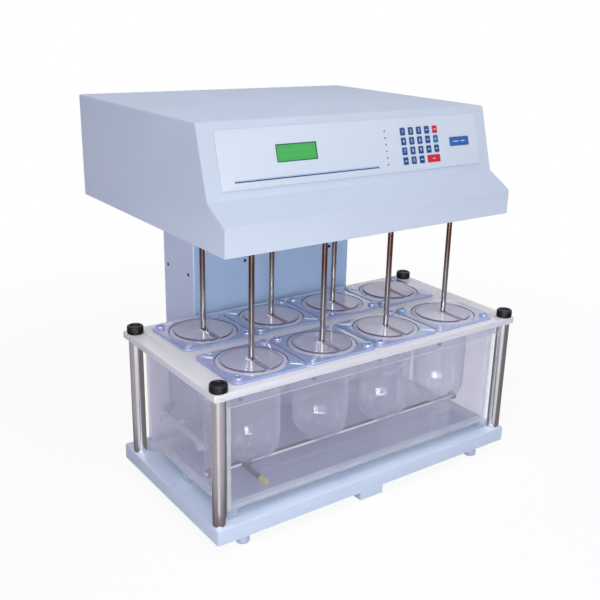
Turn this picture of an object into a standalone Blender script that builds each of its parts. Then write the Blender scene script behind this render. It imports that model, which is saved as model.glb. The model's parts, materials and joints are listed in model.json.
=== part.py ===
"""Eight-station tablet dissolution tester with a water bath and a lifting drive head.

Run with: blender --background --python part.py
Lengths are metres, +Z is up and +X runs to the right as seen from the front.
The origin lies on the bench, at the centre of the whole machine's outline.
"""

import math

import bmesh
import bpy
from mathutils import Matrix, Vector
from mathutils.geometry import convex_hull_2d

# Clearances that several pieces share
SEAT_GAP = 0.0003
RUNNING_GAP = 0.0008
CUT_OVERRUN = 0.002
WELD_DISTANCE = 0.00001

# Smoothness of round shapes
ROUND_SIDES = 20
HOLE_SIDES = 24
SHAFT_SIDES = 10
CORNER_STEPS = 2
SHARP_ANGLE_DEG = 35
FACING_DOWN_SHARE = 0.99

# Base plate, a folded tray, and the four corner posts
POST_RADIUS = 0.0127
POST_HEIGHT = 0.2335
STUD_RADIUS = 0.005
STUD_RISE = 0.0085
BASE_MARGIN_X = 0.0142
BASE_MARGIN_FRONT = 0.0177
BASE_MARGIN_BACK = 0.0421
BASE_THICKNESS = 0.029
BASE_SHEET = 0.002
BASE_RETURN_LIP = 0.032
BASE_CORNER = 0.004
FOOT_HEIGHT = 0.018
FOOT_RADIUS = 0.0125
FOOT_TOP_RADIUS = 0.0115
FOOT_CHAMFER = 0.0015
FOOT_INSET_LEFT = 0.0576
FOOT_INSET_RIGHT = 0.0796
FOOT_INSET_Y = 0.0155
SUPPORT_WIDTH = 0.055
SUPPORT_DEPTH = 0.060
SUPPORT_OFFSET_X = -0.012

# Stations, in two rows of four
STATIONS_PER_ROW = 4
STATION_PITCH = 0.1515
ROW_SPAN = 0.168

# White lid plate over the bath
LID_THICKNESS = 0.0125
LID_MARGIN_X = 0.0156
LID_MARGIN_FRONT = 0.0145
LID_MARGIN_BACK = 0.0215
LID_CORNER = 0.003
LID_HOLE_CLEARANCE = 0.004

# Glass vessels
VESSEL_RADIUS = 0.052
VESSEL_WALL = 0.0022
VESSEL_HEIGHT = 0.193
FLANGE_RADIUS = 0.063
FLANGE_THICKNESS = 0.005
BOWL_STEPS = 4

# Blue locating plates, one round each vessel
PLATE_SEAM = 0.0025
PLATE_DEPTH = 0.138
PLATE_THICKNESS = 0.005
PLATE_CORNER = 0.012
BOSS_RADIUS = 0.009
BOSS_RISE = 0.005
BOSS_EDGE = 0.0135
BOSS_DIMPLE_RADIUS = 0.005
BOSS_DIMPLE_DEPTH = 0.002
BOSS_SIDES = 8
CLAMP_LENGTH = 0.026
CLAMP_WIDTH = 0.009
CLAMP_RISE = 0.0018
CLAMP_CLEARANCE = 0.0012

# Clear covers, slotted to the front so that they lift off round a shaft
COVER_RADIUS = 0.0545
COVER_THICKNESS = 0.003
COVER_HOLE_RADIUS = 0.0068
COVER_SLOT_WIDTH = 0.0115
COVER_SPIGOT_DEPTH = 0.003
COVER_HUB_RADIUS = 0.0105
COVER_HUB_RISE = 0.002

# Black ribbed knobs that hold the lid plate down
KNOB_RADIUS = 0.0153
KNOB_HEIGHT = 0.0145
KNOB_RIBS = 14
KNOB_RIB_DEPTH = 0.0009
KNOB_RECESS_DEPTH = 0.0025
KNOB_RECESS_RADIUS = 0.0095

# Clear water tank
TANK_CLEARANCE_X = 0.0047
TANK_MARGIN_Y = 0.0035
TANK_WALL = 0.010
TANK_END_CLEARANCE = 0.02575
TANK_SIDE_CLEARANCE = 0.004
TANK_PAD_HEIGHT = 0.016
TANK_PAD_SIZE = 0.020
TANK_LID_GAP = 0.004
RIM_STRIP_HEIGHT = 0.020
RIM_STRIP_THICKNESS = 0.003

# Circulation pipe along the left wall of the tank
PIPE_RADIUS = 0.006
PIPE_LENGTH = 0.160
PIPE_CENTRE_Y = 0.045
PIPE_WALL_DISTANCE = 0.013
PIPE_FLOOR_DISTANCE = 0.054
PIPE_NUT_RADIUS = 0.010
PIPE_NUT_LENGTH = 0.010
PIPE_BRANCH_RADIUS = 0.004
PIPE_BRANCH_LENGTH = 0.016
PIPE_BRANCH_OFFSET = 0.031

# Heater rod near the tank floor, with the sensor that branches off it
HEATER_RADIUS = 0.0045
HEATER_ROW_OFFSET = 0.024
HEATER_FLOOR_DISTANCE = 0.016
HEATER_GLAND_RADIUS = 0.010
HEATER_GLAND_LENGTH = 0.009
SENSOR_OFFSET_X = -0.224
SENSOR_TEE_SIZE = 0.014
SENSOR_TEE_LENGTH = 0.020
SENSOR_RADIUS = 0.005
SENSOR_LENGTH = 0.052
SENSOR_TIP_RADIUS = 0.0065
SENSOR_TIP_LENGTH = 0.018
SENSOR_FLOOR_GAP = 0.0005

# Lift column behind the bath
COLUMN_WIDTH = 0.384
COLUMN_DEPTH = 0.126
COLUMN_BATH_GAP = 0.010
COLUMN_SHEET = 0.002
COLUMN_CORNER = 0.003
COLUMN_IN_HEAD = 0.014
TONGUE_MARGIN = 0.010
ACTUATOR_RADIUS = 0.0245
ACTUATOR_TOP_DROP = 0.075
ACTUATOR_FLANGE_RADIUS = 0.045
ACTUATOR_FLANGE_THICKNESS = 0.008
MAST_RADIUS = 0.020
MAST_ENGAGEMENT = 0.100

# Drive head
HEAD_WIDTH = 0.632
HEAD_OVERHANG_BACK = 0.093
HEAD_LIFT_HEIGHT = 0.2060
HEAD_LIP_Y_FROM_POSTS = 0.0046
LIP_HEIGHT = 0.046
CHIN_DEPTH = 0.0533
CHIN_RISE = 0.0307
SLOPE_DEPTH = 0.035
SLOPE_RISE = 0.1187
HEAD_SHEET = 0.0015
HEAD_BEND_RADIUS = 0.003
BEND_STEPS = 2

# Chassis inside the head, with its bearing housings
CHASSIS_THICKNESS = 0.003
CHASSIS_RECESS = 0.004
CHASSIS_COLUMN_GAP = 0.005
HOUSING_RADIUS = 0.014
HOUSING_HEIGHT = 0.030
BRACKET_WIDTH = 0.180
BRACKET_PLATE = 0.006
BRACKET_FOOT = 0.030
BRACKET_COLUMN_GAP = 0.019
BRACKET_REACH = 0.024

# Spindles and their belt drive
SHAFT_RADIUS = 0.005
SHAFT_TIP_CHAMFER = 0.001
SHAFT_TIP_IN_COVER = 0.0022
COLLAR_RADIUS = 0.009
COLLAR_HEIGHT = 0.008
PULLEY_RADIUS = 0.022
PULLEY_WIDTH = 0.013
SHAFT_TOP_RISE = 0.004
BELT_THICKNESS = 0.002
BELT_WIDTH = 0.010
MOTOR_SIZE = 0.057
MOTOR_HEIGHT = 0.029
MOTOR_CORNER = 0.005
MOTOR_WALL_GAP = 0.0085
MOTOR_SHAFT_RADIUS = 0.003
MOTOR_SHAFT_DEPTH = 0.020
MOTOR_PULLEY_RADIUS = 0.015

# Control panel on the sloping front of the head
PANEL_WIDTH = 0.574
PANEL_HEIGHT = 0.096
PANEL_TOP_MARGIN = 0.0137
PANEL_THICKNESS = 0.0012
PANEL_CORNER = 0.002
DISPLAY_WIDTH = 0.0822
DISPLAY_HEIGHT = 0.0296
DISPLAY_LEFT_MARGIN = 0.1102
DISPLAY_TOP_MARGIN = 0.0288
DISPLAY_THICKNESS = 0.0016

# Mains inlet low on the back of the column
INLET_FLANGE_WIDTH = 0.050
INLET_FLANGE_HEIGHT = 0.030
INLET_FLANGE_THICKNESS = 0.003
INLET_BODY_WIDTH = 0.028
INLET_BODY_HEIGHT = 0.021
INLET_BODY_DEPTH = 0.024
INLET_WALL = 0.002
INLET_CORNER = 0.003
INLET_RISE = 0.060
INLET_INSET_X = 0.072

# Places that follow from the sizes above
TANK_HALF_X = (
    (STATIONS_PER_ROW - 1) / 2 * STATION_PITCH + VESSEL_RADIUS + TANK_END_CLEARANCE + TANK_WALL
)
TANK_HALF_Y = ROW_SPAN / 2 + VESSEL_RADIUS + TANK_SIDE_CLEARANCE + TANK_WALL
POST_SPAN_X = 2 * (TANK_HALF_X + TANK_CLEARANCE_X + POST_RADIUS)
POST_SPAN_Y = 2 * (TANK_HALF_Y + TANK_MARGIN_Y)
BASE_FRONT_REACH = POST_SPAN_Y / 2 + BASE_MARGIN_FRONT
BASE_BACK_REACH = POST_SPAN_Y / 2 + BASE_MARGIN_BACK
COLUMN_FRONT_REACH = POST_SPAN_Y / 2 + LID_MARGIN_BACK + COLUMN_BATH_GAP
COLUMN_BACK_REACH = COLUMN_FRONT_REACH + COLUMN_DEPTH
HEAD_FRONT_REACH = POST_SPAN_Y / 2 - HEAD_LIP_Y_FROM_POSTS
HEAD_BACK_REACH = COLUMN_BACK_REACH + HEAD_OVERHANG_BACK
BATH_Y = (BASE_FRONT_REACH - HEAD_BACK_REACH) / 2
BASE_TOP = FOOT_HEIGHT + BASE_THICKNESS
POST_TOP = BASE_TOP + POST_HEIGHT
LID_BOTTOM = POST_TOP + SEAT_GAP
LID_TOP = LID_BOTTOM + LID_THICKNESS
PLATE_BOTTOM = LID_TOP + SEAT_GAP
PLATE_TOP = PLATE_BOTTOM + PLATE_THICKNESS
PLATE_WIDTH = STATION_PITCH - PLATE_SEAM
FLANGE_BOTTOM = LID_TOP + SEAT_GAP
FLANGE_TOP = FLANGE_BOTTOM + FLANGE_THICKNESS
COVER_BOTTOM = FLANGE_TOP + SEAT_GAP
COVER_TOP = COVER_BOTTOM + COVER_THICKNESS
HEAD_BOTTOM = COVER_TOP + HEAD_LIFT_HEIGHT
HEAD_TOP = HEAD_BOTTOM + LIP_HEIGHT + CHIN_RISE + SLOPE_RISE
HEAD_FRONT_Y = BATH_Y - HEAD_FRONT_REACH
HEAD_BACK_Y = BATH_Y + HEAD_BACK_REACH
CHASSIS_BOTTOM = HEAD_BOTTOM + CHASSIS_RECESS
CHASSIS_TOP = CHASSIS_BOTTOM + CHASSIS_THICKNESS
PULLEY_BOTTOM = CHASSIS_TOP + HOUSING_HEIGHT + SEAT_GAP
PULLEY_TOP = PULLEY_BOTTOM + PULLEY_WIDTH
COLUMN_TOP = HEAD_BOTTOM + COLUMN_IN_HEAD
MAST_Y = BATH_Y + COLUMN_FRONT_REACH + COLUMN_DEPTH / 2
TANK_BOTTOM = BASE_TOP + SEAT_GAP + TANK_PAD_HEIGHT
TANK_FLOOR = TANK_BOTTOM + TANK_WALL
TANK_TOP = LID_BOTTOM - TANK_LID_GAP
MOTOR_X = HEAD_WIDTH / 2 - HEAD_SHEET - MOTOR_WALL_GAP - MOTOR_SIZE / 2


def clear_scene():
    """Remove every object and helper collection from the open file."""
    for obj in list(bpy.data.objects):
        bpy.data.objects.remove(obj, do_unlink=True)
    for group in list(bpy.data.collections):
        bpy.data.collections.remove(group)


def new_collection(name, hidden=False):
    """Link a new collection to the scene."""
    group = bpy.data.collections.new(name)
    bpy.context.scene.collection.children.link(group)
    group.hide_render = hidden
    return group


def new_material(name, colour, roughness, metallic=0.0, alpha=1.0):
    """A plain Principled material."""
    material = bpy.data.materials.new(name)
    material.use_nodes = True
    shader = material.node_tree.nodes["Principled BSDF"]
    shader.inputs["Base Color"].default_value = (*colour, 1.0)
    shader.inputs["Roughness"].default_value = roughness
    shader.inputs["Metallic"].default_value = metallic
    shader.inputs["Alpha"].default_value = alpha
    material.diffuse_color = (*colour, alpha)
    return material


def painted_base():
    return new_material("painted_base", (0.56, 0.66, 0.80), 0.45)


def painted_head():
    return new_material("painted_head", (0.60, 0.68, 0.82), 0.42)


def painted_column():
    return new_material("painted_column", (0.52, 0.58, 0.74), 0.45)


def bright_chrome():
    return new_material("bright_chrome", (0.80, 0.80, 0.82), 0.12, metallic=1.0)


def shaft_steel():
    return new_material("shaft_steel", (0.62, 0.55, 0.52), 0.18, metallic=1.0)


def white_board():
    return new_material("white_board", (0.84, 0.84, 0.86), 0.40)


def blue_acrylic():
    return new_material("blue_acrylic", (0.46, 0.58, 0.84), 0.20, alpha=0.85)


def clear_acrylic():
    return new_material("clear_acrylic", (0.86, 0.88, 0.92), 0.08, alpha=0.30)


def clear_glass():
    return new_material("clear_glass", (0.92, 0.93, 0.97), 0.04, alpha=0.30)


def black_plastic():
    return new_material("black_plastic", (0.02, 0.02, 0.025), 0.45)


def rubber_foot():
    return new_material("rubber_foot", (0.60, 0.68, 0.80), 0.60)


def dark_metal():
    return new_material("dark_metal", (0.28, 0.28, 0.33), 0.35, metallic=0.8)


def panel_film():
    return new_material("panel_film", (0.68, 0.76, 0.88), 0.35)


def display_green():
    return new_material("display_green", (0.10, 0.50, 0.16), 0.20)


def belt_rubber():
    return new_material("belt_rubber", (0.03, 0.03, 0.03), 0.70)


def plain_aluminium():
    return new_material("plain_aluminium", (0.70, 0.71, 0.73), 0.40, metallic=1.0)


def corner_arc(centre, radius, start, end, steps):
    """Points along an arc, both ends included."""
    points = []
    for step in range(steps + 1):
        angle = start + (end - start) * step / steps
        points.append((centre[0] + radius * math.cos(angle), centre[1] + radius * math.sin(angle)))
    return points


def circle(centre, radius, sides):
    """A closed ring of points."""
    return corner_arc(centre, radius, 0, 2 * math.pi, sides)[:-1]


def rounded_polygon(corners, radius, steps=CORNER_STEPS):
    """Round each convex or concave corner of a closed outline."""
    points = []
    for index, corner in enumerate(corners):
        here = Vector(corner)
        back = (Vector(corners[index - 1]) - here).normalized()
        ahead = (Vector(corners[(index + 1) % len(corners)]) - here).normalized()
        half = back.angle(ahead) / 2
        centre = here + (back + ahead).normalized() * (radius / math.sin(half))
        first = here + back * (radius / math.tan(half)) - centre
        last = here + ahead * (radius / math.tan(half)) - centre
        turn = first.angle_signed(last)
        for step in range(steps + 1):
            arm = first.copy()
            arm.rotate(Matrix.Rotation(-turn * step / steps, 2))
            points.append(tuple(centre + arm))
    return points


def rectangle(left, right, front, back):
    """Corners of a rectangle, anticlockwise."""
    return [(left, front), (right, front), (right, back), (left, back)]


def helper_object(name, mesh):
    """A temporary object that modelling steps use."""
    obj = bpy.data.objects.new(name, mesh)
    obj.hide_render = True
    obj.display_type = "WIRE"
    HELPERS.objects.link(obj)
    return obj


def tidy_mesh(mesh):
    """Weld the mesh and turn its faces outwards."""
    model = bmesh.new()
    model.from_mesh(mesh)
    bmesh.ops.remove_doubles(model, verts=model.verts, dist=WELD_DISTANCE)
    bmesh.ops.recalc_face_normals(model, faces=model.faces)
    model.to_mesh(mesh)
    model.free()
    return mesh


def frozen(obj):
    """The object's evaluated mesh, with the helper object removed."""
    graph = bpy.context.evaluated_depsgraph_get()
    mesh = bpy.data.meshes.new_from_object(obj.evaluated_get(graph))
    mesh.transform(obj.matrix_world)
    data = obj.data
    bpy.data.objects.remove(obj, do_unlink=True)
    if isinstance(data, bpy.types.Curve):
        bpy.data.curves.remove(data)
    return tidy_mesh(mesh)


def slab(outlines, bottom, top):
    """A flat piece from an outline and the holes inside it, between two heights."""
    curve = bpy.data.curves.new("slab", "CURVE")
    curve.dimensions = "2D"
    curve.fill_mode = "BOTH"
    curve.extrude = (top - bottom) / 2
    for outline in outlines:
        spline = curve.splines.new("POLY")
        spline.points.add(len(outline) - 1)
        for point, place in zip(spline.points, outline):
            point.co = (place[0], place[1], 0, 1)
        spline.use_cyclic_u = True
    obj = helper_object("slab", curve)
    obj.location.z = (top + bottom) / 2
    bpy.context.view_layer.update()
    return frozen(obj)


def turned(profile, sides):
    """A turned piece about Z from a profile that runs down its outer side."""
    mesh = bpy.data.meshes.new("turned")
    closed = profile[0][0] > 0 and profile[-1][0] > 0
    edges = [(index, index + 1) for index in range(len(profile) - 1)]
    if closed:
        edges.append((len(profile) - 1, 0))
    mesh.from_pydata([(radius, 0, height) for radius, height in profile], edges, [])
    obj = helper_object("turned", mesh)
    screw = obj.modifiers.new("turn", "SCREW")
    screw.steps = sides
    screw.render_steps = sides
    screw.use_merge_vertices = True
    screw.merge_threshold = WELD_DISTANCE
    bpy.context.view_layer.update()
    return frozen(obj)


def rod(radius, start, end, sides=SHAFT_SIDES):
    """A straight round bar between two points."""
    start = Vector(start)
    end = Vector(end)
    model = bmesh.new()
    bmesh.ops.create_cone(
        model,
        cap_ends=True,
        segments=sides,
        radius1=radius,
        radius2=radius,
        depth=(end - start).length,
    )
    turn = (end - start).to_track_quat("Z", "Y").to_matrix().to_4x4()
    model.transform(Matrix.Translation((start + end) / 2) @ turn)
    mesh = bpy.data.meshes.new("rod")
    model.to_mesh(mesh)
    model.free()
    return mesh


def block(low, high):
    """A box between two opposite corners."""
    low = Vector(low)
    high = Vector(high)
    model = bmesh.new()
    bmesh.ops.create_cube(model, size=1)
    model.transform(Matrix.Translation((low + high) / 2) @ Matrix.Diagonal((*(high - low), 1)))
    mesh = bpy.data.meshes.new("block")
    model.to_mesh(mesh)
    model.free()
    return mesh


def combine(mesh, others, operation):
    """Join other meshes to a mesh, or cut them from it."""
    obj = helper_object("combined", mesh)
    tools = []
    for other in others:
        tool = helper_object("tool", other)
        change = obj.modifiers.new(operation.lower(), "BOOLEAN")
        change.operation = operation
        change.object = tool
        tools.append(tool)
    bpy.context.view_layer.update()
    result = frozen(obj)
    for tool in tools:
        bpy.data.objects.remove(tool, do_unlink=True)
    return result


def fused(mesh, others):
    return combine(mesh, others, "UNION")


def cut(mesh, others):
    return combine(mesh, others, "DIFFERENCE")


def add_part(name, mesh, material, location=(0, 0, 0)):
    """Put a finished piece in the machine's collection."""
    if not mesh.materials:
        mesh.materials.append(material)
    mesh.shade_smooth()
    mesh.set_sharp_from_angle(angle=math.radians(SHARP_ANGLE_DEG))
    obj = bpy.data.objects.new(name, mesh)
    obj.location = location
    MACHINE.objects.link(obj)
    return obj


def stations():
    """Number and place of each station, front row first, left to right."""
    places = []
    for row in (-1, 1):
        for column in range(STATIONS_PER_ROW):
            x = (column - (STATIONS_PER_ROW - 1) / 2) * STATION_PITCH
            places.append((x, BATH_Y + row * ROW_SPAN / 2))
    return list(enumerate(places, start=1))


def post_places():
    """The four post centres, each with its name."""
    places = {}
    for depth_name, depth_side in (("front", -1), ("back", 1)):
        for side_name, side in (("left", -1), ("right", 1)):
            place = (side * POST_SPAN_X / 2, BATH_Y + depth_side * POST_SPAN_Y / 2)
            places[f"{depth_name}_{side_name}"] = place
    return places


def base_corners(inset):
    """Corners of the base plate and its rear tongue, moved inwards."""
    half = POST_SPAN_X / 2 + BASE_MARGIN_X - inset
    tongue = COLUMN_WIDTH / 2 + TONGUE_MARGIN - inset
    front = BATH_Y - BASE_FRONT_REACH + inset
    back = BATH_Y + BASE_BACK_REACH - inset
    rear = BATH_Y + COLUMN_BACK_REACH + TONGUE_MARGIN - inset
    corners = rectangle(-half, half, front, back)[:3]
    corners += [(tongue, back), (tongue, rear), (-tongue, rear), (-tongue, back), (-half, back)]
    return corners


def build_base_plate(material):
    """Folded tray under the bath, with a tongue under the column and a support block in front."""
    plate = slab([rounded_polygon(base_corners(0), BASE_CORNER)], FOOT_HEIGHT, BASE_TOP)
    lip_top = FOOT_HEIGHT + BASE_SHEET
    inside = slab([base_corners(BASE_SHEET)], lip_top, BASE_TOP - BASE_SHEET)
    window = slab([base_corners(BASE_RETURN_LIP)], FOOT_HEIGHT - CUT_OVERRUN, lip_top + CUT_OVERRUN)
    left = SUPPORT_OFFSET_X - SUPPORT_WIDTH / 2
    right = SUPPORT_OFFSET_X + SUPPORT_WIDTH / 2
    front = BATH_Y - BASE_FRONT_REACH
    support_top = FOOT_HEIGHT + BASE_THICKNESS / 2
    support = block((left, front, 0), (right, front + SUPPORT_DEPTH, support_top))
    add_part("base_plate", fused(cut(plate, [inside, window]), [support]), material)


def build_feet(material):
    """Round feet under the corners of the base plate."""
    top = FOOT_HEIGHT - SEAT_GAP
    profile = [
        (0, top),
        (FOOT_TOP_RADIUS, top),
        (FOOT_RADIUS, FOOT_CHAMFER),
        (FOOT_RADIUS - FOOT_CHAMFER, 0),
        (0, 0),
    ]
    foot = turned(profile, ROUND_SIDES)
    half = POST_SPAN_X / 2 + BASE_MARGIN_X
    columns = (("left", FOOT_INSET_LEFT - half), ("right", half - FOOT_INSET_RIGHT))
    front = BATH_Y - BASE_FRONT_REACH + FOOT_INSET_Y
    back = BATH_Y + BASE_BACK_REACH - FOOT_INSET_Y
    for depth_name, y in (("front", front), ("back", back)):
        for side_name, x in columns:
            add_part(f"foot_{depth_name}_{side_name}", foot, material, (x, y, 0))


def build_posts(material):
    """Chrome posts with the studs that pass through the lid plate."""
    stud_top = LID_TOP + STUD_RISE
    bottom = BASE_TOP + SEAT_GAP
    profile = [
        (0, stud_top),
        (STUD_RADIUS, stud_top),
        (STUD_RADIUS, POST_TOP),
        (POST_RADIUS, POST_TOP),
        (POST_RADIUS, bottom),
        (0, bottom),
    ]
    post = turned(profile, ROUND_SIDES)
    for name, place in post_places().items():
        add_part(f"post_{name}", post, material, (*place, 0))


def knob_outline():
    """Ribbed outline of a knob."""
    points = []
    for rib in range(KNOB_RIBS):
        for share, radius in ((0, KNOB_RADIUS - KNOB_RIB_DEPTH), (1 / 2, KNOB_RADIUS)):
            angle = 2 * math.pi * (rib + share) / KNOB_RIBS
            points.append((radius * math.cos(angle), radius * math.sin(angle)))
    return points


def build_knobs(material):
    """Ribbed knobs that screw on the studs, with their origins on the turning axis."""
    bore_depth = STUD_RISE + RUNNING_GAP
    body = slab([knob_outline()], 0, KNOB_HEIGHT)
    bore = rod(STUD_RADIUS + RUNNING_GAP, (0, 0, -CUT_OVERRUN), (0, 0, bore_depth), SHAFT_SIDES)
    recess_floor = KNOB_HEIGHT - KNOB_RECESS_DEPTH
    recess_top = KNOB_HEIGHT + CUT_OVERRUN
    recess = rod(KNOB_RECESS_RADIUS, (0, 0, recess_floor), (0, 0, recess_top), ROUND_SIDES)
    knob = cut(body, [bore, recess])
    for name, place in post_places().items():
        add_part(f"lid_knob_{name}", knob, material, (*place, LID_TOP + SEAT_GAP))


def build_lid_plate(material):
    """White plate that carries the vessels over the bath."""
    half = POST_SPAN_X / 2 + LID_MARGIN_X
    front = BATH_Y - POST_SPAN_Y / 2 - LID_MARGIN_FRONT
    back = BATH_Y + POST_SPAN_Y / 2 + LID_MARGIN_BACK
    outlines = [rounded_polygon(rectangle(-half, half, front, back), LID_CORNER)]
    for _, place in stations():
        outlines.append(circle(place, VESSEL_RADIUS + LID_HOLE_CLEARANCE, ROUND_SIDES))
    for place in post_places().values():
        outlines.append(circle(place, STUD_RADIUS + RUNNING_GAP, SHAFT_SIDES))
    add_part("bath_lid_plate", slab(outlines, LID_BOTTOM, LID_TOP), material)


def vessel_profile():
    """Round-bottomed vessel: up the inside, over the flange and down the outside."""
    bottom = FLANGE_TOP - VESSEL_HEIGHT
    centre = bottom + VESSEL_RADIUS
    inner = VESSEL_RADIUS - VESSEL_WALL
    points = []
    for step in range(BOWL_STEPS + 1):
        angle = math.pi / 2 * step / BOWL_STEPS
        points.append((inner * math.sin(angle), centre - inner * math.cos(angle)))
    points += [
        (inner, FLANGE_TOP),
        (FLANGE_RADIUS, FLANGE_TOP),
        (FLANGE_RADIUS, FLANGE_BOTTOM),
        (VESSEL_RADIUS, FLANGE_BOTTOM),
    ]
    for step in range(BOWL_STEPS + 1):
        angle = math.pi / 2 * (1 - step / BOWL_STEPS)
        points.append((VESSEL_RADIUS * math.sin(angle), centre - VESSEL_RADIUS * math.cos(angle)))
    return points


def build_vessels(material):
    """Flanged glass vessels that hang in the lid plate."""
    vessel = turned(vessel_profile(), ROUND_SIDES)
    for number, place in stations():
        add_part(f"vessel_{number}", vessel, material, (*place, 0))


def vessel_plate_mesh(mirror):
    """Locating plate with two round bosses on one diagonal and two toe clamps on the other."""
    half_x = PLATE_WIDTH / 2
    half_y = PLATE_DEPTH / 2
    hole_radius = FLANGE_RADIUS / math.cos(math.pi / HOLE_SIDES) + RUNNING_GAP
    outline = rounded_polygon(rectangle(-half_x, half_x, -half_y, half_y), PLATE_CORNER)
    plate = slab([outline, circle((0, 0), hole_radius, HOLE_SIDES)], PLATE_BOTTOM, PLATE_TOP)
    middle = (PLATE_BOTTOM + PLATE_TOP) / 2
    boss_top = PLATE_TOP + BOSS_RISE
    additions = []
    dimples = []
    for end in (-1, 1):
        x = end * mirror * (half_x - BOSS_EDGE)
        y = end * (half_y - BOSS_EDGE)
        additions.append(rod(BOSS_RADIUS, (x, y, middle), (x, y, boss_top), BOSS_SIDES))
        floor = boss_top - BOSS_DIMPLE_DEPTH
        lip = boss_top + CUT_OVERRUN
        dimples.append(rod(BOSS_DIMPLE_RADIUS, (x, y, floor), (x, y, lip), BOSS_SIDES))
        additions.append(toe_clamp(end, mirror, hole_radius, middle))
    return cut(fused(plate, additions), dimples)


def toe_clamp(end, mirror, hole_radius, bottom):
    """Bar along a diagonal that reaches from the plate's corner to the vessel's rim."""
    near = hole_radius + CLAMP_CLEARANCE
    half_width = CLAMP_WIDTH / 2
    bar = block((near, -half_width, bottom), (near + CLAMP_LENGTH, half_width, PLATE_TOP + CLAMP_RISE))
    direction = math.atan2(end * PLATE_DEPTH, -end * mirror * PLATE_WIDTH)
    bar.transform(Matrix.Rotation(direction, 4, "Z"))
    return bar


def build_vessel_plates(material):
    """One locating plate for each vessel, mirrored from station to station."""
    meshes = {mirror: vessel_plate_mesh(mirror) for mirror in (-1, 1)}
    for number, place in stations():
        row = (number - 1) // STATIONS_PER_ROW
        mirror = 1 if (number + row) % 2 else -1
        add_part(f"vessel_plate_{number}", meshes[mirror], material, (*place, 0))


def slotted_disc(radius, bottom, top, sides=HOLE_SIDES):
    """Disc with a centre hole that is open to the front through a slot."""
    half_slot = COVER_SLOT_WIDTH / 2
    rim_turn = math.asin(half_slot / radius)
    hole_turn = math.asin(half_slot / COVER_HOLE_RADIUS)
    front = -math.pi / 2
    rim = corner_arc((0, 0), radius, front + rim_turn, front + 2 * math.pi - rim_turn, sides)
    hole = corner_arc(
        (0, 0), COVER_HOLE_RADIUS, front + 2 * math.pi - hole_turn, front + hole_turn, SHAFT_SIDES
    )
    return slab([rim + hole], bottom, top)


def build_covers(material):
    """Clear covers that sit on the vessel flanges."""
    bore_radius = (VESSEL_RADIUS - VESSEL_WALL) * math.cos(math.pi / ROUND_SIDES)
    spigot_radius = bore_radius - RUNNING_GAP
    middle = (COVER_BOTTOM + COVER_TOP) / 2
    disc = slotted_disc(COVER_RADIUS, COVER_BOTTOM, COVER_TOP)
    spigot_bottom = COVER_BOTTOM - COVER_SPIGOT_DEPTH
    spigot = slotted_disc(spigot_radius, spigot_bottom, middle, ROUND_SIDES)
    hub = slotted_disc(COVER_HUB_RADIUS, middle, COVER_TOP + COVER_HUB_RISE, SHAFT_SIDES)
    cover = fused(disc, [spigot, hub])
    for number, place in stations():
        add_part(f"vessel_cover_{number}", cover, material, (*place, 0))


def build_spindles(material):
    """Stirrer shafts with their set collars and belt pulleys."""
    tip = COVER_TOP - SHAFT_TIP_IN_COVER
    collar_top = CHASSIS_BOTTOM - SEAT_GAP
    collar_bottom = collar_top - COLLAR_HEIGHT
    top = PULLEY_TOP + SHAFT_TOP_RISE
    profile = [
        (0, top),
        (SHAFT_RADIUS, top),
        (SHAFT_RADIUS, PULLEY_TOP),
        (PULLEY_RADIUS, PULLEY_TOP),
        (PULLEY_RADIUS, PULLEY_BOTTOM),
        (SHAFT_RADIUS, PULLEY_BOTTOM),
        (SHAFT_RADIUS, collar_top),
        (COLLAR_RADIUS, collar_top),
        (COLLAR_RADIUS, collar_bottom),
        (SHAFT_RADIUS, collar_bottom),
        (SHAFT_RADIUS, tip + SHAFT_TIP_CHAMFER),
        (SHAFT_RADIUS - SHAFT_TIP_CHAMFER, tip),
        (0, tip),
    ]
    spindle = turned(profile, SHAFT_SIDES)
    for number, place in stations():
        add_part(f"spindle_{number}", spindle, material, (*place, 0))


def build_tank(material):
    """Clear open tank with a rim strip, on small pads."""
    outer = rectangle(-TANK_HALF_X, TANK_HALF_X, BATH_Y - TANK_HALF_Y, BATH_Y + TANK_HALF_Y)
    inner_x = TANK_HALF_X - TANK_WALL
    inner_y = TANK_HALF_Y - TANK_WALL
    inner = rectangle(-inner_x, inner_x, BATH_Y - inner_y, BATH_Y + inner_y)
    strip_x = TANK_HALF_X + RIM_STRIP_THICKNESS
    strip_y = TANK_HALF_Y + RIM_STRIP_THICKNESS
    strip = rectangle(-strip_x, strip_x, BATH_Y - strip_y, BATH_Y + strip_y)
    body = slab([outer], TANK_BOTTOM, TANK_TOP - RIM_STRIP_HEIGHT / 2)
    rim = slab([strip], TANK_TOP - RIM_STRIP_HEIGHT, TANK_TOP)
    hollow = slab([inner], TANK_FLOOR, TANK_TOP + CUT_OVERRUN)
    pads = []
    pad_reach_x = TANK_HALF_X - TANK_PAD_SIZE / 2
    pad_reach_y = TANK_HALF_Y - TANK_PAD_SIZE / 2
    for side in (-1, 1):
        for row in (-1, 0, 1):
            centre = Vector((side * pad_reach_x, BATH_Y + row * pad_reach_y, 0))
            spread = Vector((TANK_PAD_SIZE, TANK_PAD_SIZE, 0)) / 2
            low = centre - spread + Vector((0, 0, BASE_TOP + SEAT_GAP))
            high = centre + spread + Vector((0, 0, (TANK_BOTTOM + TANK_FLOOR) / 2))
            pads.append(block(low, high))
    add_part("bath_tank", cut(fused(body, [rim] + pads), [hollow]), material)


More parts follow.
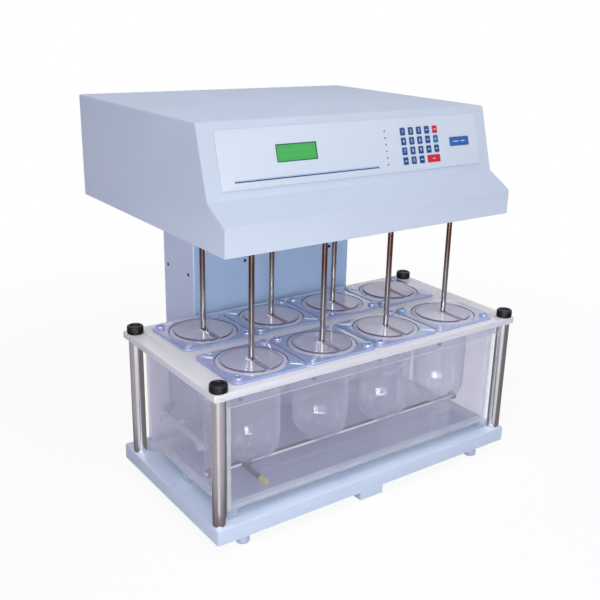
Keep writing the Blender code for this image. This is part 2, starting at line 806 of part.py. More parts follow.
def build_circulation_pipe(material):
    """Clear pipe along the left wall, held by a nut at each end, with one outlet."""
    wall = -TANK_HALF_X + TANK_WALL
    x = wall + PIPE_WALL_DISTANCE
    z = TANK_FLOOR + PIPE_FLOOR_DISTANCE
    front = BATH_Y + PIPE_CENTRE_Y - PIPE_LENGTH / 2
    back = front + PIPE_LENGTH
    outlet_y = BATH_Y + PIPE_CENTRE_Y + PIPE_BRANCH_OFFSET
    pipe = rod(PIPE_RADIUS, (x, front, z), (x, back, z))
    pieces = [rod(PIPE_BRANCH_RADIUS, (x, outlet_y, z), (x + PIPE_BRANCH_LENGTH, outlet_y, z))]
    for y in (front + PIPE_NUT_RADIUS, back - PIPE_NUT_RADIUS):
        pieces.append(rod(PIPE_NUT_RADIUS, (wall + SEAT_GAP, y, z), (wall + PIPE_NUT_LENGTH, y, z)))
    add_part("circulation_pipe", fused(pipe, pieces), material)


def build_heater(material):
    """Heater rod from wall to wall, with its glands and the sensor that branches off."""
    reach = TANK_HALF_X - TANK_WALL - SEAT_GAP
    y = BATH_Y - ROW_SPAN / 2 + HEATER_ROW_OFFSET
    z = TANK_FLOOR + HEATER_FLOOR_DISTANCE
    bar = rod(HEATER_RADIUS, (-reach, y, z), (reach, y, z))
    pieces = []
    for side in (-1, 1):
        inner = side * (reach - HEATER_GLAND_LENGTH)
        pieces.append(rod(HEATER_GLAND_RADIUS, (side * reach, y, z), (inner, y, z)))
    tee = Vector((SENSOR_TEE_LENGTH, SENSOR_TEE_SIZE, SENSOR_TEE_SIZE)) / 2
    centre = Vector((SENSOR_OFFSET_X, y, z))
    pieces.append(block(centre - tee, centre + tee))
    sensor_z = TANK_FLOOR + SENSOR_FLOOR_GAP + SENSOR_TIP_RADIUS
    elbow = (SENSOR_OFFSET_X, y, sensor_z)
    shoulder = (SENSOR_OFFSET_X, y - SENSOR_LENGTH, sensor_z)
    tip = (SENSOR_OFFSET_X, y - SENSOR_LENGTH - SENSOR_TIP_LENGTH, sensor_z)
    inside_tip = (SENSOR_OFFSET_X, y - SENSOR_LENGTH - SENSOR_TIP_LENGTH / 2, sensor_z)
    pieces.append(rod(SENSOR_RADIUS, elbow, inside_tip))
    pieces.append(rod(SENSOR_TIP_RADIUS, shoulder, tip))
    add_part("heater_rod", fused(bar, pieces), material)


def inlet_place():
    """Centre of the mains inlet on the column's back face."""
    return Vector((COLUMN_WIDTH / 2 - INLET_INSET_X, BATH_Y + COLUMN_BACK_REACH, BASE_TOP + INLET_RISE))


def build_column(material):
    """Sheet-metal column shell with the cut-out for the mains inlet."""
    half = COLUMN_WIDTH / 2
    front = BATH_Y + COLUMN_FRONT_REACH
    back = BATH_Y + COLUMN_BACK_REACH
    sheet = COLUMN_SHEET
    outer = rounded_polygon(rectangle(-half, half, front, back), COLUMN_CORNER)
    inner_corners = rectangle(-half + sheet, half - sheet, front + sheet, back - sheet)
    inner = rounded_polygon(inner_corners, COLUMN_CORNER - sheet)
    shell = slab([outer, inner], BASE_TOP + SEAT_GAP, COLUMN_TOP)
    spread = Vector((INLET_BODY_WIDTH / 2 + SEAT_GAP, sheet + CUT_OVERRUN, INLET_BODY_HEIGHT / 2 + SEAT_GAP))
    window = block(inlet_place() - spread, inlet_place() + spread)
    add_part("column_shell", cut(shell, [window]), material)


def build_inlet(material):
    """Appliance inlet with a plain socket recess."""
    centre = inlet_place()
    face = centre.y + INLET_FLANGE_THICKNESS + SEAT_GAP
    width = INLET_FLANGE_WIDTH / 2
    height = INLET_FLANGE_HEIGHT / 2
    flange_outline = rounded_polygon(rectangle(-width, width, -height, height), INLET_CORNER)
    flange = slab([flange_outline], 0, INLET_FLANGE_THICKNESS)
    flange.transform(Matrix.Translation((centre.x, face, centre.z)) @ Matrix.Rotation(math.pi / 2, 4, "X"))
    body_half = Vector((INLET_BODY_WIDTH / 2, 0, INLET_BODY_HEIGHT / 2))
    wall = Vector((INLET_WALL, 0, INLET_WALL))
    rear = Vector((centre.x, face - INLET_FLANGE_THICKNESS / 2, centre.z))
    depth = Vector((0, INLET_BODY_DEPTH, 0))
    body = block(rear - depth - body_half, rear + body_half)
    mouth = Vector((centre.x, face + CUT_OVERRUN, centre.z))
    pocket_depth = Vector((0, INLET_BODY_DEPTH + CUT_OVERRUN - INLET_WALL, 0))
    pocket = block(mouth - pocket_depth - body_half + wall, mouth + body_half - wall)
    add_part("mains_inlet", cut(fused(flange, [body]), [pocket]), material)


def build_actuator(material):
    """Fixed outer tube of the lift, with the flange it stands on."""
    bottom = BASE_TOP + SEAT_GAP
    top = COLUMN_TOP - ACTUATOR_TOP_DROP
    bore = MAST_RADIUS / math.cos(math.pi / ROUND_SIDES) + SEAT_GAP
    flange_top = bottom + ACTUATOR_FLANGE_THICKNESS
    profile = [
        (bore, top),
        (ACTUATOR_RADIUS, top),
        (ACTUATOR_RADIUS, flange_top),
        (ACTUATOR_FLANGE_RADIUS, flange_top),
        (ACTUATOR_FLANGE_RADIUS, bottom),
        (bore, bottom),
    ]
    add_part("lift_actuator", turned(profile, ROUND_SIDES), material, (0, MAST_Y, 0))


def build_lift_mast(material):
    """Sliding mast with the bracket that carries the head's chassis."""
    bottom = COLUMN_TOP - ACTUATOR_TOP_DROP - MAST_ENGAGEMENT
    low = CHASSIS_TOP + SEAT_GAP
    high = HEAD_TOP - HEAD_SHEET - SEAT_GAP
    rear_face = COLUMN_FRONT_REACH - BRACKET_COLUMN_GAP
    front_face = rear_face - BRACKET_PLATE
    toe = front_face - BRACKET_FOOT
    heel = COLUMN_FRONT_REACH + COLUMN_DEPTH / 2 + MAST_RADIUS + BRACKET_REACH
    under = high - BRACKET_PLATE
    step = low + BRACKET_PLATE
    outline = [
        (toe, low),
        (rear_face, low),
        (rear_face, under),
        (heel, under),
        (heel, high),
        (front_face, high),
        (front_face, step),
        (toe, step),
    ]
    bracket = slab([outline], -BRACKET_WIDTH / 2, BRACKET_WIDTH / 2)
    stand_up = Matrix(((0, 0, 1, 0), (1, 0, 0, BATH_Y), (0, 1, 0, 0), (0, 0, 0, 1)))
    bracket.transform(stand_up)
    middle = (under + high) / 2
    mast = rod(MAST_RADIUS, (0, MAST_Y, bottom), (0, MAST_Y, middle), ROUND_SIDES)
    add_part("lift_mast", fused(bracket, [mast]), material)


def head_side_outline():
    """Side view of the head as (y, z), from the lip's lower edge round to the back."""
    lip_top = HEAD_BOTTOM + LIP_HEIGHT
    chin_y = HEAD_FRONT_Y + CHIN_DEPTH
    chin_z = lip_top + CHIN_RISE
    return [
        (HEAD_FRONT_Y, HEAD_BOTTOM),
        (HEAD_FRONT_Y, lip_top),
        (chin_y, chin_z),
        (chin_y + SLOPE_DEPTH, HEAD_TOP),
        (HEAD_BACK_Y, HEAD_TOP),
        (HEAD_BACK_Y, HEAD_BOTTOM),
    ]


def build_head_cover(material):
    """Folded sheet cover: a five-sided shell that is open underneath."""
    model = bmesh.new()
    half = HEAD_WIDTH / 2
    ring = [model.verts.new((-half, y, z)) for y, z in head_side_outline()]
    side = model.faces.new(ring)
    swept = bmesh.ops.extrude_face_region(model, geom=[side])
    moved = [item for item in swept["geom"] if isinstance(item, bmesh.types.BMVert)]
    bmesh.ops.translate(model, verts=moved, vec=(HEAD_WIDTH, 0, 0))
    bmesh.ops.recalc_face_normals(model, faces=model.faces)
    underside = [face for face in model.faces if face.normal.z < -FACING_DOWN_SHARE]
    bmesh.ops.delete(model, geom=underside, context="FACES_ONLY")
    mesh = bpy.data.meshes.new("head_cover")
    model.to_mesh(mesh)
    model.free()
    obj = add_part("head_cover", mesh, material)
    bend = obj.modifiers.new("bends", "BEVEL")
    bend.width = HEAD_BEND_RADIUS
    bend.segments = BEND_STEPS
    bend.limit_method = "ANGLE"
    sheet = obj.modifiers.new("sheet", "SOLIDIFY")
    sheet.thickness = HEAD_SHEET
    sheet.offset = -1
    sheet.use_even_offset = True


def build_chassis(material):
    """Plate that closes the head from below and carries the eight bearing housings."""
    inset = HEAD_SHEET + SEAT_GAP
    half = HEAD_WIDTH / 2 - inset
    corners = rectangle(-half, half, HEAD_FRONT_Y + inset, HEAD_BACK_Y - inset)
    outer = rounded_polygon(corners, HEAD_BEND_RADIUS)
    hole_half = COLUMN_WIDTH / 2 + CHASSIS_COLUMN_GAP
    hole_front = BATH_Y + COLUMN_FRONT_REACH - CHASSIS_COLUMN_GAP
    hole_back = BATH_Y + COLUMN_BACK_REACH + CHASSIS_COLUMN_GAP
    hole = rectangle(-hole_half, hole_half, hole_front, hole_back)
    plate = slab([outer, hole], CHASSIS_BOTTOM, CHASSIS_TOP)
    middle = (CHASSIS_BOTTOM + CHASSIS_TOP) / 2
    housing_top = CHASSIS_TOP + HOUSING_HEIGHT
    bore_radius = SHAFT_RADIUS / math.cos(math.pi / SHAFT_SIDES) + SEAT_GAP
    housings = []
    bores = []
    for _, place in stations():
        housings.append(rod(HOUSING_RADIUS, (*place, middle), (*place, housing_top), SHAFT_SIDES))
        low = (*place, CHASSIS_BOTTOM - CUT_OVERRUN)
        high = (*place, housing_top + CUT_OVERRUN)
        bores.append(rod(bore_radius, low, high, SHAFT_SIDES))
    add_part("head_chassis", cut(fused(plate, housings), bores), material)


def belt_outline(extra):
    """Loop round the four corner pulleys and the motor pulley, offset outwards."""
    places = [place for _, place in stations()]
    points = []
    for place in places:
        points += circle(place, PULLEY_RADIUS + extra, ROUND_SIDES)
    points += circle((MOTOR_X, BATH_Y), MOTOR_PULLEY_RADIUS + extra, ROUND_SIDES)
    return [points[index] for index in convex_hull_2d(points)]


def build_belt(material):
    """Drive belt that touches all eight pulleys and the motor pulley."""
    centre = (PULLEY_BOTTOM + PULLEY_TOP) / 2
    inner = belt_outline(SEAT_GAP)
    outer = belt_outline(SEAT_GAP + BELT_THICKNESS)
    belt = slab([outer, inner], centre - BELT_WIDTH / 2, centre + BELT_WIDTH / 2)
    add_part("drive_belt", belt, material)


def build_motor(case_material, shaft_material):
    """Drive motor on the chassis and the pulley on its shaft."""
    half = MOTOR_SIZE / 2
    low = CHASSIS_TOP + SEAT_GAP
    high = low + MOTOR_HEIGHT
    outline = rounded_polygon(rectangle(-half, half, -half, half), MOTOR_CORNER)
    bore = circle((0, 0), MOTOR_SHAFT_RADIUS + RUNNING_GAP, SHAFT_SIDES)
    place = (MOTOR_X, BATH_Y, 0)
    add_part("drive_motor", slab([outline, bore], low, high), case_material, place)
    profile = [
        (0, PULLEY_TOP),
        (MOTOR_PULLEY_RADIUS, PULLEY_TOP),
        (MOTOR_PULLEY_RADIUS, PULLEY_BOTTOM),
        (MOTOR_SHAFT_RADIUS, PULLEY_BOTTOM),
        (MOTOR_SHAFT_RADIUS, high - MOTOR_SHAFT_DEPTH),
        (0, high - MOTOR_SHAFT_DEPTH),
    ]
    add_part("motor_pulley", turned(profile, ROUND_SIDES), shaft_material, place)


def slope_frame():
    """Matrix from the panel's own plane (x right, y up the slope) to the head's sloping face."""
    low = Vector((0, HEAD_FRONT_Y + CHIN_DEPTH, HEAD_BOTTOM + LIP_HEIGHT + CHIN_RISE))
    high = Vector((0, low.y + SLOPE_DEPTH, HEAD_TOP))
    up = (high - low).normalized()
    outwards = Vector((1, 0, 0)).cross(up)
    columns = (Vector((1, 0, 0)), up, outwards, high)
    return Matrix([(*(column[row] for column in columns),) for row in range(3)] + [(0, 0, 0, 1)])


def display_rectangle(grown):
    """The display's outline on the panel's plane, grown on every side."""
    left = -PANEL_WIDTH / 2 + DISPLAY_LEFT_MARGIN
    top = -PANEL_TOP_MARGIN - DISPLAY_TOP_MARGIN
    return rectangle(
        left - grown, left + DISPLAY_WIDTH + grown, top - DISPLAY_HEIGHT - grown, top + grown
    )


def build_panel(film_material, display_material):
    """Control panel film on the slope, and the display window set into it."""
    half = PANEL_WIDTH / 2
    top = -PANEL_TOP_MARGIN
    outline = rounded_polygon(rectangle(-half, half, top - PANEL_HEIGHT, top), PANEL_CORNER)
    film = slab([outline, display_rectangle(SEAT_GAP)], SEAT_GAP, SEAT_GAP + PANEL_THICKNESS)
    film.transform(slope_frame())
    add_part("control_panel", film, film_material)
    window = slab([display_rectangle(0)], SEAT_GAP, SEAT_GAP + DISPLAY_THICKNESS)
    window.transform(slope_frame())
    add_part("display_window", window, display_material)


def build_machine():
    """Build every piece, from the bench up."""
    chrome = bright_chrome()
    acrylic = clear_acrylic()
    metal = dark_metal()
    aluminium = plain_aluminium()
    plastic = black_plastic()
    build_base_plate(painted_base())
    build_feet(rubber_foot())
    build_posts(chrome)
    build_tank(acrylic)
    build_circulation_pipe(acrylic)
    build_heater(metal)
    build_lid_plate(white_board())
    build_knobs(plastic)
    build_vessel_plates(blue_acrylic())
    build_vessels(clear_glass())
    build_covers(acrylic)
    build_column(painted_column())
    build_inlet(plastic)
    build_actuator(aluminium)
    build_lift_mast(chrome)
    build_chassis(aluminium)
    build_spindles(shaft_steel())
    build_belt(belt_rubber())
    build_motor(metal, aluminium)
    build_head_cover(painted_head())
    build_panel(panel_film(), display_green())


clear_scene()
MACHINE = new_collection("tablet_dissolution_tester")
HELPERS = new_collection("helpers", hidden=True)
build_machine()
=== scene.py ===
"""Looks of an eight-station tablet dissolution tester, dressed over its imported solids.

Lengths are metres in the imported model's frame: +Z is up, +X runs to the machine's right
and the control panel faces -Y.
"""

from __future__ import annotations

import json
import logging
import math
from contextlib import contextmanager
from dataclasses import dataclass
from enum import Enum
from typing import Any, Callable, Iterator, Optional, Sequence, Union

import bmesh
import bpy
from mathutils import Matrix, Vector

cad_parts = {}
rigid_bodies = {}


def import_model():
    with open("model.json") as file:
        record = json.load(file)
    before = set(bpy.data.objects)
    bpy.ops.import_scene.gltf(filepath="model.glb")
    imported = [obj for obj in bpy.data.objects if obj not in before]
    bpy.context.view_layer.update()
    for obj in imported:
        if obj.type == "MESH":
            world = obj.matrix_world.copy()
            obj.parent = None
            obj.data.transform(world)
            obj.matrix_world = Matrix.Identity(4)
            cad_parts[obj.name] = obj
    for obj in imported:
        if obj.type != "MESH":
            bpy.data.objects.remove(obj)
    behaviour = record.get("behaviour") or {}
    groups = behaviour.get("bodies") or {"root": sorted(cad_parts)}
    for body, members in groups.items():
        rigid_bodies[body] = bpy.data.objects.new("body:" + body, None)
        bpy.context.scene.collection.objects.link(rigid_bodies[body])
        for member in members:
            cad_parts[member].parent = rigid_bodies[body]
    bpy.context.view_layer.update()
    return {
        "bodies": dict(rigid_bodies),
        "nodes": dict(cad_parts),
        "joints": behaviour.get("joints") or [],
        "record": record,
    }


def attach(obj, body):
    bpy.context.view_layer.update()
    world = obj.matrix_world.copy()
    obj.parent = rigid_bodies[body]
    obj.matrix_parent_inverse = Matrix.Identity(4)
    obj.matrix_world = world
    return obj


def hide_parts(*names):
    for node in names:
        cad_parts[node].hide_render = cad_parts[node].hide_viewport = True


LOG = logging.getLogger("dissolution_tester")

Object = bpy.types.Object
Material = bpy.types.Material
Face = bpy.types.MeshPolygon
Point = Sequence[float]
Pair = tuple[float, float]
Colour = tuple[float, float, float]
Number = Union["Signal", float]
Test = Callable[[Any], bool]
Owner = Union[bpy.types.Material, bpy.types.World]
Settings = Optional[dict[str, Any]]
Sockets = dict[Union[str, int], Any]

WELD = 0.00001
SELECT_ROOM = 0.0002
CREASE_DEGREES = 32
RIM_DEGREES = 60


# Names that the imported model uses


class Slot(Enum):
    """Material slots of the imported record."""

    BASE = "painted_base"
    HEAD = "painted_head"
    FOOT = "rubber_foot"
    CHROME = "bright_chrome"
    BLACK = "black_plastic"
    BOARD = "white_board"
    BLUE = "blue_acrylic"
    GLASS = "clear_glass"
    ACRYLIC = "clear_acrylic"
    SHAFT = "shaft_steel"
    METAL = "dark_metal"
    FILM = "panel_film"
    DISPLAY = "display_green"


BATH_Y = -0.1164
STATION_XS = (-0.22725, -0.07575, 0.07575, 0.22725)
ROW_YS = (-0.2004, -0.0324)
POST_X = 0.3324
POST_YS = {"front": -0.2699, "back": 0.0371}
SIDES = {"left": -1, "right": 1}


def stations() -> list[tuple[int, float, float]]:
    """Number, x and y of each station, front row first, left to right."""
    places = [(x, y) for y in ROW_YS for x in STATION_XS]
    return [(number, x, y) for number, (x, y) in enumerate(places, start=1)]


def posts() -> list[tuple[str, float, float]]:
    """Name, x and y of each corner post.

    Returns:
        The posts, front ones first.
    """
    return [
        (f"{depth}_{side}", sign * POST_X, y)
        for depth, y in POST_YS.items()
        for side, sign in SIDES.items()
    ]


# Shader expressions


def srgb(red: int, green: int, blue: int) -> Colour:
    """Turn a colour as a screen shows it into linear light.

    Args:
        red: Red from 0 to 255.
        green: Green from 0 to 255.
        blue: Blue from 0 to 255.

    Returns:
        The linear colour.
    """

    def linear(value: float) -> float:
        """Undo the screen curve for one channel."""
        value /= 255
        return value / 12.92 if value <= 0.04045 else ((value + 0.055) / 1.055) ** 2.4

    return (linear(red), linear(green), linear(blue))


class Signal:
    """A shader value that Python's operators extend with Math nodes."""

    def __init__(self, graph: Graph, socket: bpy.types.NodeSocket) -> None:
        """Keep the graph and the socket that carries the value."""
        self.graph = graph
        self.socket = socket

    def does(self, operation: str, other: Number = 0.0) -> Signal:
        """One Math node on this value and another."""
        return self.graph.out("ShaderNodeMath", {"operation": operation}, {0: self, 1: other})

    def __add__(self, other: Number) -> Signal:
        """Sum."""
        return self.does("ADD", other)

    __radd__ = __add__

    def __sub__(self, other: Number) -> Signal:
        """Difference."""
        return self.does("SUBTRACT", other)

    def __rsub__(self, other: Number) -> Signal:
        """Reflected difference."""
        return self * -1 + other

    def __mul__(self, other: Number) -> Signal:
        """Product."""
        return self.does("MULTIPLY", other)

    __rmul__ = __mul__

    def __pow__(self, other: Number) -> Signal:
        """Power."""
        return self.does("POWER", other)

    def above(self, limit: Number) -> Signal:
        """1 where the value is over the limit, else 0."""
        return self.does("GREATER_THAN", limit)

    def eased(self, low: float, high: float) -> Signal:
        """Rise smoothly from 0 at low to 1 at high.

        Args:
            low: Where the rise starts.
            high: Where it ends.

        Returns:
            The share.
        """
        settings = {"interpolation_type": "SMOOTHSTEP"}
        return self.graph.out(
            "ShaderNodeMapRange", settings, {"Value": self, "From Min": low, "From Max": high}
        )


class Graph:
    """The node tree of one material or world, written by short calls."""

    def __init__(self, owner: Owner) -> None:
        """Start an empty node tree.

        Args:
            owner: The material or world that the tree belongs to.
        """
        owner.use_nodes = True
        self.owner = owner
        self.tree = owner.node_tree
        self.tree.nodes.clear()

    def add(
        self, kind: str, settings: Settings = None, sockets: Optional[Sockets] = None
    ) -> bpy.types.Node:
        """Add a node.

        Args:
            kind: The node's type.
            settings: Properties that are set first.
            sockets: Values or links by socket name or number.

        Returns:
            The node.
        """
        node = self.tree.nodes.new(kind)
        for key, value in (settings or {}).items():
            setattr(node, key, value)
        for key, value in (sockets or {}).items():
            socket = node.inputs[key]
            if isinstance(value, Signal):
                self.tree.links.new(value.socket, socket)
            elif socket.type == "RGBA" and len(value) == 3:
                socket.default_value = (*value, 1.0)
            else:
                socket.default_value = value
        return node

    def out(
        self,
        kind: str,
        settings: Settings = None,
        sockets: Optional[Sockets] = None,
        output: Union[str, int] = 0,
    ) -> Signal:
        """Add a node and take one of its outputs."""
        return Signal(self, self.add(kind, settings, sockets).outputs[output])

    def place(self) -> Signal:
        """Object coordinates, which lie in the machine's frame."""
        return self.out("ShaderNodeTexCoord", output="Object")

    def ray(self, kind: str) -> Signal:
        """1 for rays of one kind, such as Is Camera Ray, else 0."""
        return self.out("ShaderNodeLightPath", output=kind)

    def axis(self, letter: str) -> Signal:
        """One of the object coordinates: X, Y or Z."""
        return self.out("ShaderNodeSeparateXYZ", None, {0: self.place()}, letter)

    def noise(self, scale: float, detail: float = 2.0, stretch: Point = (1, 1, 1)) -> Signal:
        """Soft noise between 0 and 1.

        Args:
            scale: Features per metre.
            detail: Octaves of finer noise.
            stretch: Factor on each axis.

        Returns:
            The noise.
        """
        spread = self.out("ShaderNodeMapping", None, {"Vector": self.place(), "Scale": stretch})
        return self.out(
            "ShaderNodeTexNoise", None, {"Vector": spread, "Scale": scale, "Detail": detail}
        )

    def scaled(self, colour: Union[Signal, Colour], factor: Number) -> Signal:
        """A colour times a number.

        Args:
            colour: The colour.
            factor: The number.

        Returns:
            The new colour.
        """
        return self.out(
            "ShaderNodeVectorMath", {"operation": "SCALE"}, {0: colour, "Scale": factor}
        )

    def mixed(
        self, first: Union[Signal, Colour], second: Union[Signal, Colour], share: Number
    ) -> Signal:
        """Go from the first colour to the second by a share."""
        return self.out("ShaderNodeMix", {"data_type": "RGBA"}, {0: share, 6: first, 7: second}, 2)

    def bump(self, height: Number, distance: float) -> Signal:
        """Surface relief from a height between 0 and 1 and its depth in metres."""
        return self.out("ShaderNodeBump", None, {"Distance": distance, "Height": height})

    def principled(self, sockets: Sockets) -> Signal:
        """A Principled shader."""
        return self.out("ShaderNodeBsdfPrincipled", None, sockets)

    def between(self, first: Signal, second: Signal, share: Number) -> Signal:
        """Mix two shaders."""
        return self.out("ShaderNodeMixShader", None, {0: share, 1: first, 2: second})

    def finished(self, shader: Signal) -> Owner:
        """Connect the shader to the output and return the material or world.

        Args:
            shader: The shader.

        Returns:
            The material or world.
        """
        kind = "World" if isinstance(self.owner, bpy.types.World) else "Material"
        self.add(f"ShaderNodeOutput{kind}", None, {"Surface": shader})
        return self.owner


def new_graph(name: str) -> Graph:
    """The empty graph of a new material."""
    return Graph(bpy.data.materials.new(name))


# Finishes


@dataclass(frozen=True)
class Finish:
    """A solid finish with tone drift, fine grain, uneven gloss and worn edges."""

    name: str
    colour: Colour
    roughness: float = 0.4
    metallic: float = 0.0
    drift: float = 0.05
    drift_scale: float = 7.0
    grain_scale: float = 900.0
    grain_height: float = 0.00004
    grain_stretch: Point = (1, 1, 1)
    grain_tone: float = 0.03
    smudge: float = 0.10
    wear: float = 0.0
    wear_colour: Colour = (0.9, 0.9, 0.9)
    coat: float = 0.0
    coat_roughness: float = 0.12
    specular: float = 0.5
    glow: float = 0.0

    def base_colour(self, graph: Graph, grain: Signal) -> Signal:
        """The colour with its drift, grain and worn edges.

        Args:
            graph: The material's graph.
            grain: The fine grain.

        Returns:
            The colour.
        """
        cloud = graph.noise(self.drift_scale, 3.0)
        tone = 1 + (cloud - 0.5) * (2 * self.drift) + (grain - 0.5) * (2 * self.grain_tone)
        colour = graph.scaled(self.colour, tone)
        if not self.wear:
            return colour
        edge = graph.out("ShaderNodeNewGeometry", output="Pointiness").eased(0.52, 0.60)
        return graph.mixed(colour, self.wear_colour, edge * self.wear)

    def material(self) -> Material:
        """Build the material.

        Returns:
            The material.
        """
        graph = new_graph(self.name)
        grain = graph.noise(self.grain_scale, 2.0, self.grain_stretch)
        smudges = graph.noise(24.0, 4.0)
        colour = self.base_colour(graph, grain)
        sockets: Sockets = {
            "Base Color": colour,
            "Roughness": self.roughness * (1 + (smudges - 0.5) * (2 * self.smudge)),
            "Metallic": self.metallic,
            "Specular IOR Level": self.specular,
            "Coat Weight": self.coat,
            "Coat Roughness": self.coat_roughness,
            "Normal": graph.bump(grain, self.grain_height),
        }
        if self.glow:
            sockets["Emission Color"] = colour
            sockets["Emission Strength"] = self.glow
        return graph.finished(graph.principled(sockets))


@dataclass(frozen=True)
class ShaftFinish(Finish):
    """Ground steel with a painted brown reflection towards the head."""

    # The brown above is a painted reflection of brown surroundings, not the steel's colour.
    painted_brown_reflection: Colour = srgb(102, 76, 68)
    fade_low: float = 0.34
    fade_high: float = 0.46

    def base_colour(self, graph: Graph, grain: Signal) -> Signal:
        """The steel's colour, with the painted brown reflection above."""
        share = graph.axis("Z").eased(self.fade_low, self.fade_high)
        return graph.mixed(super().base_colour(graph, grain), self.painted_brown_reflection, share)


@dataclass(frozen=True)
class SideShadedFinish(Finish):
    """One paint, with the shell's two sides given another tone as painted light and shade."""

    # The sides' other tone stands for how light falls on them: painted shade, not a second paint.
    painted_side_shade: Colour = srgb(204, 215, 237)
    side_x: float = 0.1905

    def base_colour(self, graph: Graph, grain: Signal) -> Signal:
        """The paint's colour, with the painted side shade past the sides' planes."""
        beyond = graph.axis("X").does("ABSOLUTE").above(self.side_x)
        return graph.mixed(super().base_colour(graph, grain), self.painted_side_shade, beyond)


@dataclass(frozen=True)
class TintedFinish(Finish):
    """Translucent sheet whose colour drifts softly to a second one."""

    second_colour: Colour = srgb(178, 174, 222)
    tint_scale: float = 16.0
    tint_share: float = 0.75

    def base_colour(self, graph: Graph, grain: Signal) -> Signal:
        """The sheet's colour, with patches of the second one."""
        share = graph.noise(self.tint_scale, 1.0).eased(0.42, 0.62) * self.tint_share
        return graph.mixed(super().base_colour(graph, grain), self.second_colour, share)


@dataclass(frozen=True)
class RodFinish(Finish):
    """Polished rod that is dark above, with a painted reflection of light along its underside."""

    # The pale underside is a painted reflection of the bright floor.
    painted_reflection_colour: Colour = srgb(255, 253, 255)
    split_low: float = 0.0901
    split_high: float = 0.0917

    def base_colour(self, graph: Graph, grain: Signal) -> Signal:
        """The metal's colour, with the painted reflection of light on the underside."""
        share = graph.axis("Z").eased(self.split_high, self.split_low)
        return graph.mixed(super().base_colour(graph, grain), self.painted_reflection_colour, share)


@dataclass(frozen=True)
class DisplayFinish(Finish):
    """Lit display with rows of faint character cells."""

    cell_width: float = 0.0048
    cell_height: float = 0.0092
    gap_across: float = 0.12
    gap_down: float = 0.14
    cell_shade: float = 0.10

    def base_colour(self, graph: Graph, grain: Signal) -> Signal:
        """The display's colour with the cells a little darker.

        Args:
            graph: The material's graph.
            grain: The fine grain.

        Returns:
            The colour.
        """
        plain = super().base_colour(graph, grain)
        across = graph.axis("X").does("PINGPONG", self.cell_width / 2)
        down = graph.axis("Z").does("PINGPONG", self.cell_height / 2)
        in_column = across.above(self.cell_width * self.gap_across)
        in_row = down.above(self.cell_height * self.gap_down)
        return graph.scaled(plain, 1 - in_column * in_row * self.cell_shade)


@dataclass(frozen=True)
class ClearFinish:
    """Clear glass or plastic: a little haze, and reflections that grow towards the edge."""

    name: str
    tint: Colour = (0.96, 0.965, 0.98)
    haze_colour: Colour = srgb(205, 208, 222)
    haze: float = 0.06
    edge_haze: float = 0.0
    gloss: float = 0.05
    shine: float = 0.04
    edge_shine: float = 0.7
    smear: float = 0.35
    clear_below: float = 0.0
    clear_fade: float = 0.027
    # Extra haze towards the back is painted light: it lightens rear pieces under the head's shade.
    rear_painted_light_haze: float = 0.0
    rear_start: float = -0.14
    rear_end: float = -0.09
    haze_growth: int = 3
    shine_growth: int = 5

    def material(self) -> Material:
        """Build the material.

        Returns:
            The material.
        """
        graph = new_graph(self.name)
        smears = graph.noise(14.0, 4.0, (1, 1, 2.2))
        facing = graph.out("ShaderNodeLayerWeight", None, {"Blend": 0.5}, "Facing")
        haze = self.haze * (1 + (smears - 0.5) * (2 * self.smear))
        haze = haze + facing**self.haze_growth * self.edge_haze
        # Painted light: extra haze lightens the rear pieces.
        if self.rear_painted_light_haze:
            behind = graph.axis("Y").eased(self.rear_start, self.rear_end)
            haze = haze + behind * self.rear_painted_light_haze
        if self.clear_below:
            fade_end = self.clear_below - self.clear_fade
            haze = haze * graph.axis("Z").eased(fade_end, self.clear_below)
        through = graph.out("ShaderNodeBsdfTransparent", None, {"Color": self.tint})
        cloud = graph.principled(
            {"Base Color": self.haze_colour, "Roughness": 0.5, "Specular IOR Level": 0.0}
        )
        body = graph.between(through, cloud, haze)
        ripple = graph.bump(graph.noise(9.0, 1.0), 0.0003)
        mirror = graph.principled(
            {
                "Base Color": (0.98, 0.98, 1.0),
                "Metallic": 1.0,
                "Roughness": self.gloss,
                "Normal": ripple,
            }
        )
        share = self.shine + facing**self.shine_growth * self.edge_shine
        return graph.finished(graph.between(body, mirror, share))


def key_paint(name: str, red: int, green: int, blue: int) -> Finish:
    """The finish of the keys of one colour."""
    return Finish(name, srgb(red, green, blue), roughness=0.4, grain_scale=1800.0, specular=0.15)


